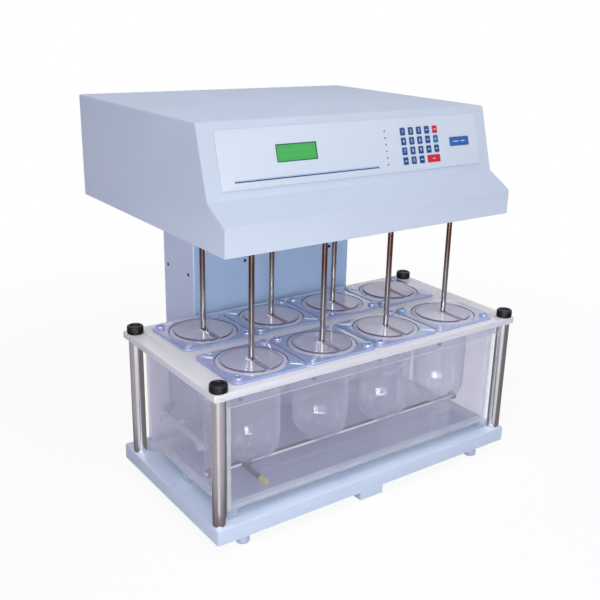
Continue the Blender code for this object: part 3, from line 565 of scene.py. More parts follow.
class Finishes:
    """Every finish of the machine, each made into a material once."""

    BASE = Finish(
        "painted_base_coat", srgb(192, 207, 225), roughness=0.30, coat=0.22, specular=0.35,
        wear=0.25, wear_colour=srgb(204, 216, 230),
    )
    HEAD = Finish(
        "painted_head_coat", srgb(190, 203, 217), roughness=0.70, coat=0.0, specular=0.12,
        wear=0.22, wear_colour=srgb(214, 221, 234),
    )
    # The column's two sides carry a painted shade tone.
    COLUMN = SideShadedFinish(
        "painted_column_coat", srgb(184, 213, 246), roughness=0.44, coat=0.05,
        grain_height=0.00005, specular=0.3,
    )
    FOOT = Finish("foot_rubber", srgb(168, 178, 204), roughness=0.62, grain_height=0.00006)
    CHROME = Finish(
        "post_chrome", (0.84, 0.82, 0.84), roughness=0.15, metallic=1.0, drift=0.06,
        grain_scale=420.0, grain_stretch=(1, 1, 0.012), grain_height=0.00003, grain_tone=0.10,
    )
    SHAFT = ShaftFinish(
        "shaft_ground_steel", (0.32, 0.30, 0.30), roughness=0.12, metallic=1.0,
        grain_scale=900.0, grain_stretch=(1, 1, 0.02), grain_height=0.00001, grain_tone=0.08,
    )
    BLACK = Finish(
        "knob_black_plastic", (0.006, 0.006, 0.009), roughness=0.36, drift=0.20,
        grain_scale=1600.0, wear=0.10, wear_colour=(0.02, 0.02, 0.027), specular=0.18,
    )
    BOARD = Finish(
        "lid_white_board", srgb(242, 243, 242), roughness=0.38, drift=0.025, coat=0.10,
        grain_scale=500.0, grain_height=0.00002, grain_tone=0.012,
    )
    # The darker colour of the board's edge faces is painted shade; the stretched grain is the sawn
    # edge.
    BOARD_EDGE_SHADE = Finish(
        "lid_sawn_edge_painted_shade", srgb(206, 208, 213), roughness=0.5, drift=0.03,
        grain_scale=700.0, grain_height=0.00003, grain_tone=0.02, grain_stretch=(1, 1, 0.1),
    )
    BLUE = TintedFinish(
        "plate_blue_acrylic", srgb(156, 180, 216), roughness=0.12, drift=0.05, coat=0.8,
        coat_roughness=0.04, grain_scale=60.0, grain_height=0.00008, grain_tone=0.02,
    )
    BLUE_EDGE = Finish(
        "plate_blue_edge", srgb(158, 170, 208), roughness=0.25, drift=0.12, grain_scale=300.0
    )
    # The dark violet on the plate's hole wall is painted shade in the gap round the vessel.
    HOLE_WALL_SHADE = Finish(
        "plate_hole_wall_painted_shade", srgb(96, 98, 150), roughness=0.25, drift=0.12, grain_scale=300.0
    )
    CLAMP = Finish(
        "clamp_pale_acrylic", srgb(196, 206, 230), roughness=0.14, coat=0.6, grain_scale=90.0
    )
    # The dimple's darker colour is painted shade in the recess.
    DIMPLE_SHADE = Finish("boss_dimple_painted_shade", srgb(128, 142, 184), roughness=0.35)
    STEEL = Finish(
        "small_part_steel", (0.55, 0.55, 0.57), roughness=0.28, metallic=1.0, drift=0.10,
        grain_scale=1500.0, grain_tone=0.08,
    )
    # The heater rod carries a painted reflection along its underside.
    DARK_STEEL = RodFinish(
        "heater_dark_steel", srgb(16, 14, 20), roughness=0.45, metallic=0.0, drift=0.12,
        grain_scale=1200.0, grain_stretch=(0.05, 1, 1), grain_tone=0.10,
    )
    STEM = Finish(
        "sensor_grey_steel", srgb(40, 38, 48), roughness=0.30, metallic=0.3, drift=0.25,
        drift_scale=120.0, grain_scale=900.0, grain_tone=0.20,
    )
    BRASS = Finish(
        "sensor_brass", srgb(192, 186, 92), roughness=0.34, metallic=0.25, drift=0.12,
        grain_scale=1400.0, grain_tone=0.10,
    )
    ALUMINIUM = Finish(
        "brushed_aluminium", srgb(186, 188, 194), roughness=0.36, metallic=1.0, drift=0.05,
        grain_scale=700.0, grain_stretch=(0.03, 1, 1), grain_tone=0.10, grain_height=0.00002,
    )
    CAST = Finish(
        "motor_cast_metal", srgb(84, 86, 96), roughness=0.5, metallic=0.6, drift=0.12,
        grain_scale=1200.0, grain_height=0.0001,
    )
    BELT = Finish(
        "belt_black_rubber", (0.02, 0.02, 0.021), roughness=0.68, drift=0.2, grain_scale=600.0,
        grain_height=0.0001, grain_tone=0.12,
    )
    FILM = Finish(
        "panel_overlay_film", srgb(198, 211, 221), roughness=0.34, drift=0.015, coat=0.05,
        specular=0.25, grain_scale=2200.0, grain_height=0.00002, grain_tone=0.01,
    )
    KEY_BLUE = key_paint("key_dark_blue", 34, 72, 130)
    KEY_LONG = key_paint("key_mid_blue", 42, 94, 158)
    KEY_RED = key_paint("key_red", 196, 26, 58)
    KEY_TEAL = key_paint("key_teal", 34, 114, 148)
    MARK = Finish("print_white", srgb(186, 206, 228), roughness=0.45, drift=0.02)
    LINE_DARK = Finish(
        "print_dark_blue", srgb(30, 54, 92), roughness=0.42, drift=0.03, specular=0.15
    )
    LINE_LIGHT = Finish("print_light_blue", srgb(120, 168, 220), roughness=0.42, drift=0.03)
    LAMP = Finish("lamp_dark_red", srgb(98, 66, 82), roughness=0.3, coat=0.2)
    FRAME = Finish(
        "display_dark_frame", srgb(34, 74, 84), roughness=0.4, drift=0.06, specular=0.15
    )
    DISPLAY = DisplayFinish(
        "display_lit_green", srgb(60, 164, 78), roughness=0.3, drift=0.05, coat=0.05, glow=0.12,
        specular=0.15,
    )
    GLASS = ClearFinish(
        "vessel_glass", haze=0.05, edge_haze=0.42, haze_colour=srgb(246, 244, 255), gloss=0.05,
        shine=0.10, clear_below=0.145,
    )
    GLASS_RIM = ClearFinish(
        "vessel_rim_glass", haze=0.70, haze_colour=srgb(238, 238, 250), gloss=0.08, edge_shine=0.4
    )
    # The rear covers' extra haze is painted light where the head shades them.
    COVER = ClearFinish(
        "cover_clear_acrylic", tint=(0.96, 0.96, 0.98), haze=0.46, rear_painted_light_haze=0.26,
        haze_colour=srgb(226, 226, 238), gloss=0.04, shine=0.06,
    )
    ACRYLIC = ClearFinish(
        "tank_clear_acrylic", tint=(0.95, 0.95, 0.965), haze=0.13, edge_haze=0.06,
        haze_colour=srgb(214, 214, 230),
    )
    ACRYLIC_END = ClearFinish(
        "tank_end_acrylic", tint=(0.95, 0.95, 0.965), haze=0.22, edge_haze=0.06,
        haze_colour=srgb(222, 222, 236),
    )
    ACRYLIC_BACK = ClearFinish(
        "tank_misted_acrylic", tint=(0.93, 0.93, 0.95), haze=0.42, haze_colour=srgb(190, 192, 214)
    )
    ACRYLIC_EDGE = ClearFinish(
        "tank_edge_acrylic", haze=0.42, haze_colour=srgb(226, 236, 232), gloss=0.12
    )
    PIPE = ClearFinish(
        "pipe_clear_acrylic", haze=0.52, edge_haze=-0.42, haze_colour=srgb(246, 244, 255),
        gloss=0.06,
    )
    PAD = ClearFinish("pad_clear_acrylic", haze=0.30, haze_colour=srgb(214, 222, 236), gloss=0.08)
    SLOT_EDGE = ClearFinish(
        "cover_slot_edge", tint=(0.95, 0.92, 0.94), haze=0.42, haze_colour=srgb(186, 168, 182),
        gloss=0.1,
    )
    # The dark outer wall of the cover is painted shade in the gap round its rim.
    COVER_EDGE_SHADE = ClearFinish(
        "cover_edge_painted_shade", tint=(0.7, 0.7, 0.78), haze=0.75, haze_colour=srgb(104, 98, 128),
        gloss=0.1,
    )

    _made: dict[str, Material] = {}

    @classmethod
    def get(cls, finish: Union[Finish, ClearFinish]) -> Material:
        """The material of a finish.

        Args:
            finish: The finish.

        Returns:
            Its material.
        """
        if finish.name not in cls._made:
            cls._made[finish.name] = finish.material()
        return cls._made[finish.name]


# Modelling by operators


def deselect_all() -> None:
    """Deselect every object."""
    bpy.ops.object.select_all(action="DESELECT")


def activate(obj: Object, *others: Object) -> None:
    """Select these objects alone and make the first one active.

    Args:
        obj: The object made active.
        others: The other ones that are selected.
    """
    deselect_all()
    for item in (obj, *others):
        item.select_set(True)
    bpy.context.view_layer.objects.active = obj


@contextmanager
def editing(obj: Object, kind: str = "FACE") -> Iterator[None]:
    """Hold an object in edit mode with nothing selected.

    Args:
        obj: The object.
        kind: What is selected: VERT, EDGE or FACE.

    Yields:
        Nothing.
    """
    activate(obj)
    bpy.ops.object.mode_set(mode="EDIT")
    bpy.ops.mesh.select_mode(type=kind)
    bpy.ops.mesh.select_all(action="DESELECT")
    try:
        yield
    finally:
        bpy.ops.object.mode_set(mode="OBJECT")


def pick(obj: Object, kind: str, test: Test) -> None:
    """Select the corners, edges or faces that pass a test, in edit mode.

    Args:
        obj: The object in edit mode.
        kind: VERT, EDGE or FACE.
        test: Says whether an element is wanted.
    """
    bpy.ops.mesh.select_mode(type=kind)
    bpy.ops.mesh.select_all(action="DESELECT")
    model = bmesh.from_edit_mesh(obj.data)
    elements = {"VERT": model.verts, "EDGE": model.edges, "FACE": model.faces}[kind]
    for element in elements:
        if test(element):
            element.select_set(True)
    model.select_flush_mode()
    bmesh.update_edit_mesh(obj.data)


def edge_turns(edge: bmesh.types.BMEdge, degrees: float = 30) -> bool:
    """Whether the faces on an edge meet at more than an angle.

    Args:
        edge: The edge.
        degrees: The angle.

    Returns:
        True for a sharp edge.
    """
    return len(edge.link_faces) == 2 and edge.calc_face_angle(0) > math.radians(degrees)


def along(axis: int) -> Test:
    """A test for edges that run along one axis.

    Args:
        axis: 0 for X, 1 for Y or 2 for Z.

    Returns:
        The test.
    """

    def runs(edge: bmesh.types.BMEdge) -> bool:
        """Whether the edge keeps its place on the other two axes."""
        first, last = (vert.co for vert in edge.verts)
        return all(abs(first[i] - last[i]) < WELD for i in range(3) if i != axis)

    return runs


def settle(obj: Object) -> Object:
    """Put the object's place into its mesh.

    Args:
        obj: The object.

    Returns:
        The same object.
    """
    activate(obj)
    bpy.ops.object.transform_apply(location=True, rotation=True, scale=True)
    return obj


def box(name: str, low: Point, high: Point) -> Object:
    """A block between two opposite corners.

    Args:
        name: The block's name.
        low: One corner.
        high: The opposite corner.

    Returns:
        The block.
    """
    low, high = Vector(low), Vector(high)
    deselect_all()
    bpy.ops.mesh.primitive_cube_add(size=1, location=(low + high) / 2, scale=high - low)
    obj = bpy.context.object
    obj.name = name
    return settle(obj)


def cylinder(name: str, radius: float, start: Point, end: Point, sides: int = 32) -> Object:
    """A round bar between two points.

    Args:
        name: The bar's name.
        radius: Its radius.
        start: Middle of one end.
        end: Middle of the other end.
        sides: Number of flat sides.

    Returns:
        The bar.
    """
    start, end = Vector(start), Vector(end)
    turn = (end - start).to_track_quat("Z", "Y").to_euler()
    deselect_all()
    bpy.ops.mesh.primitive_cylinder_add(
        vertices=sides,
        radius=radius,
        depth=(end - start).length,
        location=(start + end) / 2,
        rotation=turn,
    )
    obj = bpy.context.object
    obj.name = name
    return settle(obj)


def polyline(name: str, points: Sequence[Point], closed: bool) -> Object:
    """A chain of edges, extruded corner by corner from a plane merged to a point.

    Args:
        name: The chain's name.
        points: Its corners.
        closed: Whether it ends where it starts.

    Returns:
        The chain.
    """
    deselect_all()
    bpy.ops.mesh.primitive_plane_add(size=0.01, location=(0, 0, 0))
    obj = bpy.context.object
    obj.name = name
    chain = [Vector(point) for point in points] + ([Vector(points[0])] if closed else [])
    with editing(obj, "VERT"):
        bpy.ops.mesh.select_all(action="SELECT")
        bpy.ops.mesh.merge(type="CENTER")
        bpy.ops.transform.translate(value=chain[0])
        for here, ahead in zip(chain, chain[1:]):
            bpy.ops.mesh.extrude_vertices_move(TRANSFORM_OT_translate={"value": ahead - here})
        bpy.ops.mesh.select_all(action="SELECT")
        bpy.ops.mesh.remove_doubles(threshold=WELD)
    return obj


def turned(name: str, profile: Sequence[Pair], sides: int = 64) -> Object:
    """A piece turned about Z from a profile of radius and height.

    Args:
        name: The piece's name.
        profile: Radius and height of each point; it closes on itself unless it ends on the axis.
        sides: Steps round the turn.

    Returns:
        The closed piece.
    """
    closed = profile[0][0] > 0 and profile[-1][0] > 0
    obj = polyline(name, [(radius, 0, height) for radius, height in profile], closed)
    with editing(obj, "VERT"):
        bpy.ops.mesh.select_all(action="SELECT")
        bpy.ops.mesh.spin(steps=sides, angle=2 * math.pi, center=(0, 0, 0), axis=(0, 0, 1))
        bpy.ops.mesh.select_all(action="SELECT")
        bpy.ops.mesh.remove_doubles(threshold=WELD)
        bpy.ops.mesh.normals_make_consistent(inside=False)
    return obj


def prism(name: str, outline: Sequence[Point], bottom: float, top: float) -> Object:
    """A block of any outline between two heights.

    Args:
        name: The block's name.
        outline: Corners of the outline.
        bottom: Lower height.
        top: Upper height.

    Returns:
        The block.
    """
    obj = polyline(name, [(x, y, bottom) for x, y in outline], True)
    with editing(obj, "VERT"):
        bpy.ops.mesh.select_all(action="SELECT")
        bpy.ops.mesh.edge_face_add()
        bpy.ops.mesh.extrude_region_move(TRANSFORM_OT_translate={"value": (0, 0, top - bottom)})
        bpy.ops.mesh.select_all(action="SELECT")
        bpy.ops.mesh.normals_make_consistent(inside=False)
    return obj


def round_edges(
    obj: Object, width: float, segments: int = 2, test: Test = edge_turns
) -> Object:
    """Bevel the edges that pass a test.

    Args:
        obj: The object.
        width: Width of the bevel.
        segments: Steps round the bevel.
        test: Says which edges are rounded; by default all sharp ones.

    Returns:
        The same object.
    """
    with editing(obj, "EDGE"):
        pick(obj, "EDGE", test)
        bpy.ops.mesh.bevel(offset=width, segments=segments, profile=0.5, affect="EDGES")
    return obj


def discard(*objects: Object) -> None:
    """Remove objects that are no longer needed."""
    for obj in objects:
        bpy.data.objects.remove(obj, do_unlink=True)


def modified(obj: Object, kind: str, **settings: Any) -> Object:
    """Add a modifier and apply it.

    Args:
        obj: The piece.
        kind: The modifier's type.
        settings: Its properties.

    Returns:
        The same piece.
    """
    change = obj.modifiers.new(kind.lower(), kind)
    for key, value in settings.items():
        setattr(change, key, value)
    activate(obj)
    bpy.ops.object.modifier_apply(modifier=change.name)
    return obj


def carve(obj: Object, *cutters: Object, operation: str = "DIFFERENCE") -> Object:
    """Cut other objects from this one, or join them to it, and remove them.

    Args:
        obj: The piece.
        cutters: The other objects.
        operation: DIFFERENCE or UNION.

    Returns:
        The same piece.
    """
    for cutter in cutters:
        modified(obj, "BOOLEAN", operation=operation, solver="EXACT", object=cutter)
        discard(cutter)
    return obj


def joined(obj: Object, *others: Object) -> Object:
    """Make one object of several.

    Args:
        obj: The object that takes in the others.
        others: The others.

    Returns:
        The first object.
    """
    activate(obj, *others)
    bpy.ops.object.join()
    return obj


def copied(obj: Object, shift: Point = (0, 0, 0)) -> Object:
    """A copy with its own mesh, moved in the mesh.

    Args:
        obj: The model.
        shift: How far the copy is moved.

    Returns:
        The copy.
    """
    twin = obj.copy()
    twin.data = obj.data.copy()
    twin.data.transform(Matrix.Translation(shift))
    bpy.context.collection.objects.link(twin)
    return twin


def from_columns(*columns: Vector) -> Matrix:
    """The frame with these three axes and this origin."""
    rows = [tuple(column[row] for column in columns) for row in range(3)]
    return Matrix(rows + [(0, 0, 0, 1)])


def placed(obj: Object, frame: Matrix) -> Object:
    """Apply a matrix to the mesh.

    Args:
        obj: The object.
        frame: The matrix.

    Returns:
        The same object.
    """
    obj.data.transform(frame)
    obj.data.update()
    return obj


def finish_faces(
    obj: Object, finish: Union[Finish, ClearFinish], test: Optional[Test] = None
) -> Object:
    """Give a finish to the whole piece, or to the faces that pass a test.

    Args:
        obj: The piece.
        finish: The finish.
        test: Says which faces get it; None means all of them.

    Returns:
        The same piece.
    """
    material = Finishes.get(finish)
    if test is None:
        obj.data.materials.clear()
        obj.data.materials.append(material)
        return obj
    obj.data.materials.append(material)
    index = len(obj.data.materials) - 1
    for face in obj.data.polygons:
        if test(face):
            face.material_index = index
    return obj


def smooth(obj: Object) -> None:
    """Shade smooth, with the sharper creases kept."""
    activate(obj)
    bpy.ops.object.shade_smooth_by_angle(angle=math.radians(CREASE_DEGREES))


def present(obj: Object, name: str, body: str, slot: Slot, *nodes: str) -> None:
    """Name a finished piece and hand it to the frame.

    Args:
        obj: The piece.
        name: Its name.
        body: The body that it rides on.
        slot: The record's slot; not used.
        nodes: CAD nodes that it stands for.
    """
    obj.name = name
    smooth(obj)
    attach(obj, body)
    if nodes:
        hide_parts(*nodes)
    LOG.info("%s rides on %s with %d faces", obj.name, body, len(obj.data.polygons))


def rounded_box(
    name: str, low: Point, high: Point, corner: float, edge: float, steps: int = 4
) -> Object:
    """A board with rounded corners and softened rims.

    Args:
        name: The piece's name.
        low: Lowest corner.
        high: Highest corner.
        corner: Radius of the four upright corners.
        edge: Width of the bevel on the rims.
        steps: Steps round each upright corner.

    Returns:
        The board.
    """
    obj = round_edges(box(name, low, high), corner, steps, along(2))
    return round_edges(obj, edge, 2, lambda item: edge_turns(item, RIM_DEGREES))


# Sub-assemblies


@dataclass
class BasePlate:
    """Folded tray under the bath, its support block and its feet."""

    half_width: float = 0.3466
    front: float = -0.2876
    back: float = 0.0792
    tongue_half: float = 0.2020
    rear: float = 0.2046
    bottom: float = 0.018
    top: float = 0.047
    corner: float = 0.0042
    bend: float = 0.0024
    sheet: float = 0.002
    lip: float = 0.032
    overrun: float = 0.002
    support_low: Point = (-0.0395, -0.2876, 0.0)
    support_high: Point = (0.0155, -0.2276, 0.0325)
    foot_radius: float = 0.0125
    foot_gap: float = 0.0003
    foot_xs: Pair = (-0.289, 0.267)
    foot_ys: Pair = (-0.2721, 0.0637)

    def outline(self, inset: float) -> list[Pair]:
        """Corners of the tray, moved inwards.

        Args:
            inset: Distance inside the edge.

        Returns:
            The corners in order.
        """
        half = self.half_width - inset
        tongue = self.tongue_half - inset
        front, back, rear = self.front + inset, self.back - inset, self.rear - inset
        corners = [(-half, front), (half, front), (half, back), (tongue, back)]
        return corners + [(tongue, rear), (-tongue, rear), (-tongue, back), (-half, back)]

    def build_tray(self) -> Object:
        """The painted tray, open below, with the support block.

        Returns:
            The tray.
        """
        tray = prism("tray", self.outline(0), self.bottom, self.top)
        round_edges(tray, self.corner, 4, along(2))
        top = self.top - WELD
        round_edges(tray, self.bend, 3, lambda edge: all(v.co.z > top for v in edge.verts))
        lip_top = self.bottom + self.sheet
        inside = prism("inside", self.outline(self.sheet), lip_top, self.top - self.sheet)
        low = self.bottom - self.overrun
        window = prism("window", self.outline(self.lip), low, lip_top + self.overrun)
        carve(tray, inside, window)
        support = round_edges(box("support", self.support_low, self.support_high), 0.002, 3)
        return finish_faces(carve(tray, support, operation="UNION"), Finishes.BASE)

    def build_foot(self) -> Object:
        """One turned foot with a rounded lower rim.

        Returns:
            The foot.
        """
        top = self.bottom - self.foot_gap
        wide = self.foot_radius
        profile = [(0, top), (wide - 0.0012, top), (wide - 0.0004, 0.010), (wide, 0.004)]
        profile += [(wide - 0.0003, 0.0015), (wide - 0.0014, 0.0003), (wide - 0.0028, 0)]
        return finish_faces(turned("foot", profile + [(0, 0)], 48), Finishes.FOOT)

    def build(self) -> None:
        """Build the tray and the four feet."""
        present(self.build_tray(), "base_tray", "base", Slot.BASE, "base_plate")
        foot = self.build_foot()
        for depth, y in zip(POST_YS, self.foot_ys):
            for side, x in zip(SIDES, self.foot_xs):
                piece, name = copied(foot, (x, y, 0)), f"{depth}_{side}"
                present(piece, f"foot_pad_{name}", "base", Slot.FOOT, f"foot_{name}")
        discard(foot)


@dataclass
class CornerPosts:
    """Chrome posts and the ribbed knobs on their studs."""

    radius: float = 0.0127
    bottom: float = 0.0473
    top: float = 0.2805
    stud_radius: float = 0.005
    stud_top: float = 0.3018
    chamfer: float = 0.0012
    knob_radius: float = 0.0153
    knob_bottom: float = 0.2936
    knob_top: float = 0.3081
    ribs: int = 30
    rib_depth: float = 0.0007
    dish_depth: float = 0.0022
    foot_rise: float = 0.0015
    rim_drop: float = 0.0025
    bore_room: float = 0.0008

    def build_post(self) -> Object:
        """One post with its stud.

        Returns:
            The post.
        """
        cut = self.chamfer
        profile = [(0, self.stud_top), (self.stud_radius, self.stud_top)]
        profile += [(self.stud_radius, self.top), (self.radius - cut, self.top)]
        profile += [(self.radius, self.top - cut), (self.radius, self.bottom + cut)]
        profile += [(self.radius - cut, self.bottom), (0, self.bottom)]
        return finish_faces(turned("post", profile, 96), Finishes.CHROME)

    def build_knob(self) -> Object:
        """One knob: a drum with sunk ribs, a rounded rim and a dished top.

        Returns:
            The knob.
        """
        low, high = self.knob_bottom + self.foot_rise, self.knob_top - self.rim_drop
        knob = cylinder("knob", self.knob_radius, (0, 0, low), (0, 0, high), 2 * self.ribs)
        with editing(knob, "FACE"):
            pick(knob, "FACE", lambda face: face.normal.z > 0.9)
            for rise, share in ((0.0017, 0.95), (0.0008, 0.92)):
                bpy.ops.mesh.extrude_region_move(TRANSFORM_OT_translate={"value": (0, 0, rise)})
                bpy.ops.transform.resize(value=(share, share, 1))
            bpy.ops.mesh.inset(thickness=0.0028)
            bpy.ops.mesh.inset(thickness=0.0011, depth=-self.dish_depth)
            pick(knob, "FACE", lambda face: face.normal.z < -0.9)
            drop = (0, 0, -self.foot_rise)
            bpy.ops.mesh.extrude_region_move(TRANSFORM_OT_translate={"value": drop})
            bpy.ops.transform.resize(value=(0.93, 0.93, 1))
            turn = math.pi / self.ribs

            def is_groove(face: bmesh.types.BMFace) -> bool:
                """Every second face of the drum's side.

                Args:
                    face: The face.

                Returns:
                    True for a groove.
                """
                centre = face.calc_center_median()
                number = math.floor(math.atan2(centre.y, centre.x) / turn)
                return abs(face.normal.z) < 0.1 and low < centre.z < high and number % 2 == 0

            pick(knob, "FACE", is_groove)
            bpy.ops.mesh.inset(thickness=0.0002, depth=-self.rib_depth, use_individual=True)
        start, end = (0, 0, self.knob_bottom - 0.002), (0, 0, self.stud_top + self.bore_room)
        bore = cylinder("bore", self.stud_radius + self.bore_room, start, end, 32)
        return finish_faces(carve(knob, bore), Finishes.BLACK)

    def build(self) -> None:
        """Build the four posts and knobs."""
        post, knob = self.build_post(), self.build_knob()
        for name, x, y in posts():
            piece = copied(post, (x, y, 0))
            present(piece, f"chrome_post_{name}", "base", Slot.CHROME, f"post_{name}")
            piece, body = copied(knob, (x, y, 0)), f"knob_{name}_body"
            present(piece, f"ribbed_knob_{name}", body, Slot.BLACK, f"lid_knob_{name}")
        discard(post, knob)


@dataclass
class LidBoard:
    """White board that carries the vessels."""

    half_width: float = 0.348
    front: float = -0.2844
    back: float = 0.0586
    bottom: float = 0.2808
    top: float = 0.2933
    corner: float = 0.003
    edge: float = 0.0009
    hole_radius: float = 0.056
    stud_hole_radius: float = 0.0058
    overrun: float = 0.01

    def build(self) -> None:
        """Build the board with its eight vessel holes and four stud holes."""
        low = (-self.half_width, self.front, self.bottom)
        high = (self.half_width, self.back, self.top)
        board = rounded_box("board", low, high, self.corner, self.edge)
        holes = [(x, y, self.hole_radius, 96) for _, x, y in stations()]
        holes += [(x, y, self.stud_hole_radius, 24) for _, x, y in posts()]
        for x, y, radius, sides in holes:
            below, above = (x, y, self.bottom - self.overrun), (x, y, self.top + self.overrun)
            carve(board, cylinder("hole", radius, below, above, sides))
        finish_faces(board, Finishes.BOARD)
        # The edge faces get a darker colour as painted shade.
        finish_faces(board, Finishes.BOARD_EDGE_SHADE, lambda face: abs(face.normal.z) < 0.4)
        present(board, "lid_board", "base", Slot.BOARD, "bath_lid_plate")


@dataclass
class LocatingPlates:
    """Blue plates that centre the vessels, each with two bosses and two clamp bars."""

    width: float = 0.149
    depth: float = 0.138
    bottom: float = 0.2936
    top: float = 0.2986
    corner: float = 0.012
    edge: float = 0.0006
    hole_radius: float = 0.0642
    boss_radius: float = 0.009
    boss_top: float = 0.3036
    boss_inset: float = 0.0135
    dimple_radius: float = 0.0048
    dimple_depth: float = 0.002
    clamp_length: float = 0.0258
    clamp_width: float = 0.009
    clamp_top: float = 0.3004
    screw_rise: float = 0.0010
    screw_share: float = 0.62
    clamp_start: float = 0.0660
    screw_x: float = -0.0520
    screw_y: float = -0.0500
    screw_length: float = 0.0258
    nut_rise: float = 0.0012
    nut_height: float = 0.0046
    nut_radius: float = 0.0046
    lid_bottom: float = 0.2808
    overrun: float = 0.01

    def build_boss(self, x: float, y: float) -> Object:
        """One turned boss with a sunk dimple.

        Args:
            x: Place across the plate.
            y: Place along the plate.

        Returns:
            The boss.
        """
        wide, top, dimple = self.boss_radius, self.boss_top, self.dimple_radius
        sunk, seat = top - self.dimple_depth, self.top - 0.0004
        profile = [(0, sunk), (dimple - 0.0006, sunk), (dimple, top - 0.0004)]
        profile += [(dimple + 0.0006, top), (wide - 0.0014, top), (wide - 0.0004, top - 0.0005)]
        profile += [(wide, top - 0.0014), (wide, seat), (0, seat)]
        boss = finish_faces(turned("boss", profile, 40), Finishes.BLUE)
        reach = dimple + SELECT_ROOM

        def in_dimple(face: Face) -> bool:
            """Faces inside the dimple."""
            return face.center.to_2d().length < reach and face.center.z > self.top

        # Painted shade inside the dimple.
        finish_faces(boss, Finishes.DIMPLE_SHADE, in_dimple)
        return placed(boss, Matrix.Translation((x, y, 0)))

    def build_clamp(self, angle: float) -> Object:
        """One clamp bar along a diagonal, with a domed screw head.

        Args:
            angle: Its direction from the middle.

        Returns:
            The clamp.
        """
        half = self.clamp_width / 2
        low = (self.clamp_start, -half, self.top + 0.0001)
        high = (self.clamp_start + self.clamp_length, half, self.clamp_top)
        bar = rounded_box("clamp", low, high, 0.0022, 0.0005, 3)
        finish_faces(bar, Finishes.CLAMP)
        seat, top = self.clamp_top - 0.0002, self.clamp_top + self.screw_rise
        profile = [(0, top), (0.0012, top - 0.0001), (0.0024, top - 0.0005), (0.0028, seat)]
        screw = finish_faces(turned("screw", profile + [(0, seat)], 24), Finishes.STEEL)
        centre = self.clamp_start + self.clamp_length * self.screw_share
        placed(screw, Matrix.Translation((centre, 0, 0)))
        return placed(joined(bar, screw), Matrix.Rotation(angle, 4, "Z"))

    def build_screw_end(self) -> Object:
        """Lower end of a plate's screw with its washer and nut, under the lid board.

        Returns:
            The screw end.
        """
        top, low = self.lid_bottom + 0.0002, self.lid_bottom - self.screw_length
        profile = [(0, top), (0.0048, top), (0.0048, top - 0.0010), (0.0024, top - 0.0012)]
        profile += [(0.0024, low + 0.0008), (0.0017, low), (0, low)]
        screw = turned("screw_end", profile, 24)
        seat = low + self.nut_rise
        ends = ((0, 0, seat), (0, 0, seat + self.nut_height))
        nut = cylinder("nut", self.nut_radius, *ends, 6)
        return finish_faces(joined(screw, round_edges(nut, 0.0004, 2)), Finishes.BLACK)

    def build_plate(self, mirror: int) -> Object:
        """One plate at the origin, with its bosses on one diagonal and its clamps on the other.

        Args:
            mirror: 1 for one hand, -1 for the other.

        Returns:
            The plate.
        """
        half_x, half_y = self.width / 2, self.depth / 2
        low, high = (-half_x, -half_y, self.bottom), (half_x, half_y, self.top)
        plate = rounded_box("plate", low, high, self.corner, self.edge, 8)
        below, above = (0, 0, self.bottom - self.overrun), (0, 0, self.top + self.overrun)
        carve(plate, cylinder("hole", self.hole_radius, below, above, 96))
        finish_faces(plate, Finishes.BLUE)
        finish_faces(plate, Finishes.BLUE_EDGE, lambda face: abs(face.normal.z) < 0.2)
        reach = self.hole_radius + SELECT_ROOM

        def is_hole_wall(face: Face) -> bool:
            """Faces of the hole's wall."""
            return abs(face.normal.z) < 0.2 and face.center.to_2d().length < reach

        # Painted shade on the hole's wall.
        finish_faces(plate, Finishes.HOLE_WALL_SHADE, is_hole_wall)
        extras = []
        for end in (-1, 1):
            x, y = end * mirror * (half_x - self.boss_inset), end * (half_y - self.boss_inset)
            angle = math.atan2(end * self.depth, -end * mirror * self.width)
            extras += [self.build_boss(x, y), self.build_clamp(angle)]
        return joined(plate, *extras)

    def build(self) -> None:
        """Build the eight plates, mirrored from station to station."""
        models = {mirror: self.build_plate(mirror) for mirror in (-1, 1)}
        screw_end = self.build_screw_end()
        for number, x, y in stations():
            row = (number - 1) // len(STATION_XS)
            mirror = 1 if (number + row) % 2 else -1
            piece, node = copied(models[mirror], (x, y, 0)), f"vessel_plate_{number}"
            present(piece, f"locating_plate_{number}", "base", Slot.BLUE, node)
            if row == 0:
                end = copied(screw_end, (x + self.screw_x, y + self.screw_y, 0))
                present(end, f"plate_screw_end_{number}", "base", Slot.METAL)
        discard(screw_end, *models.values())


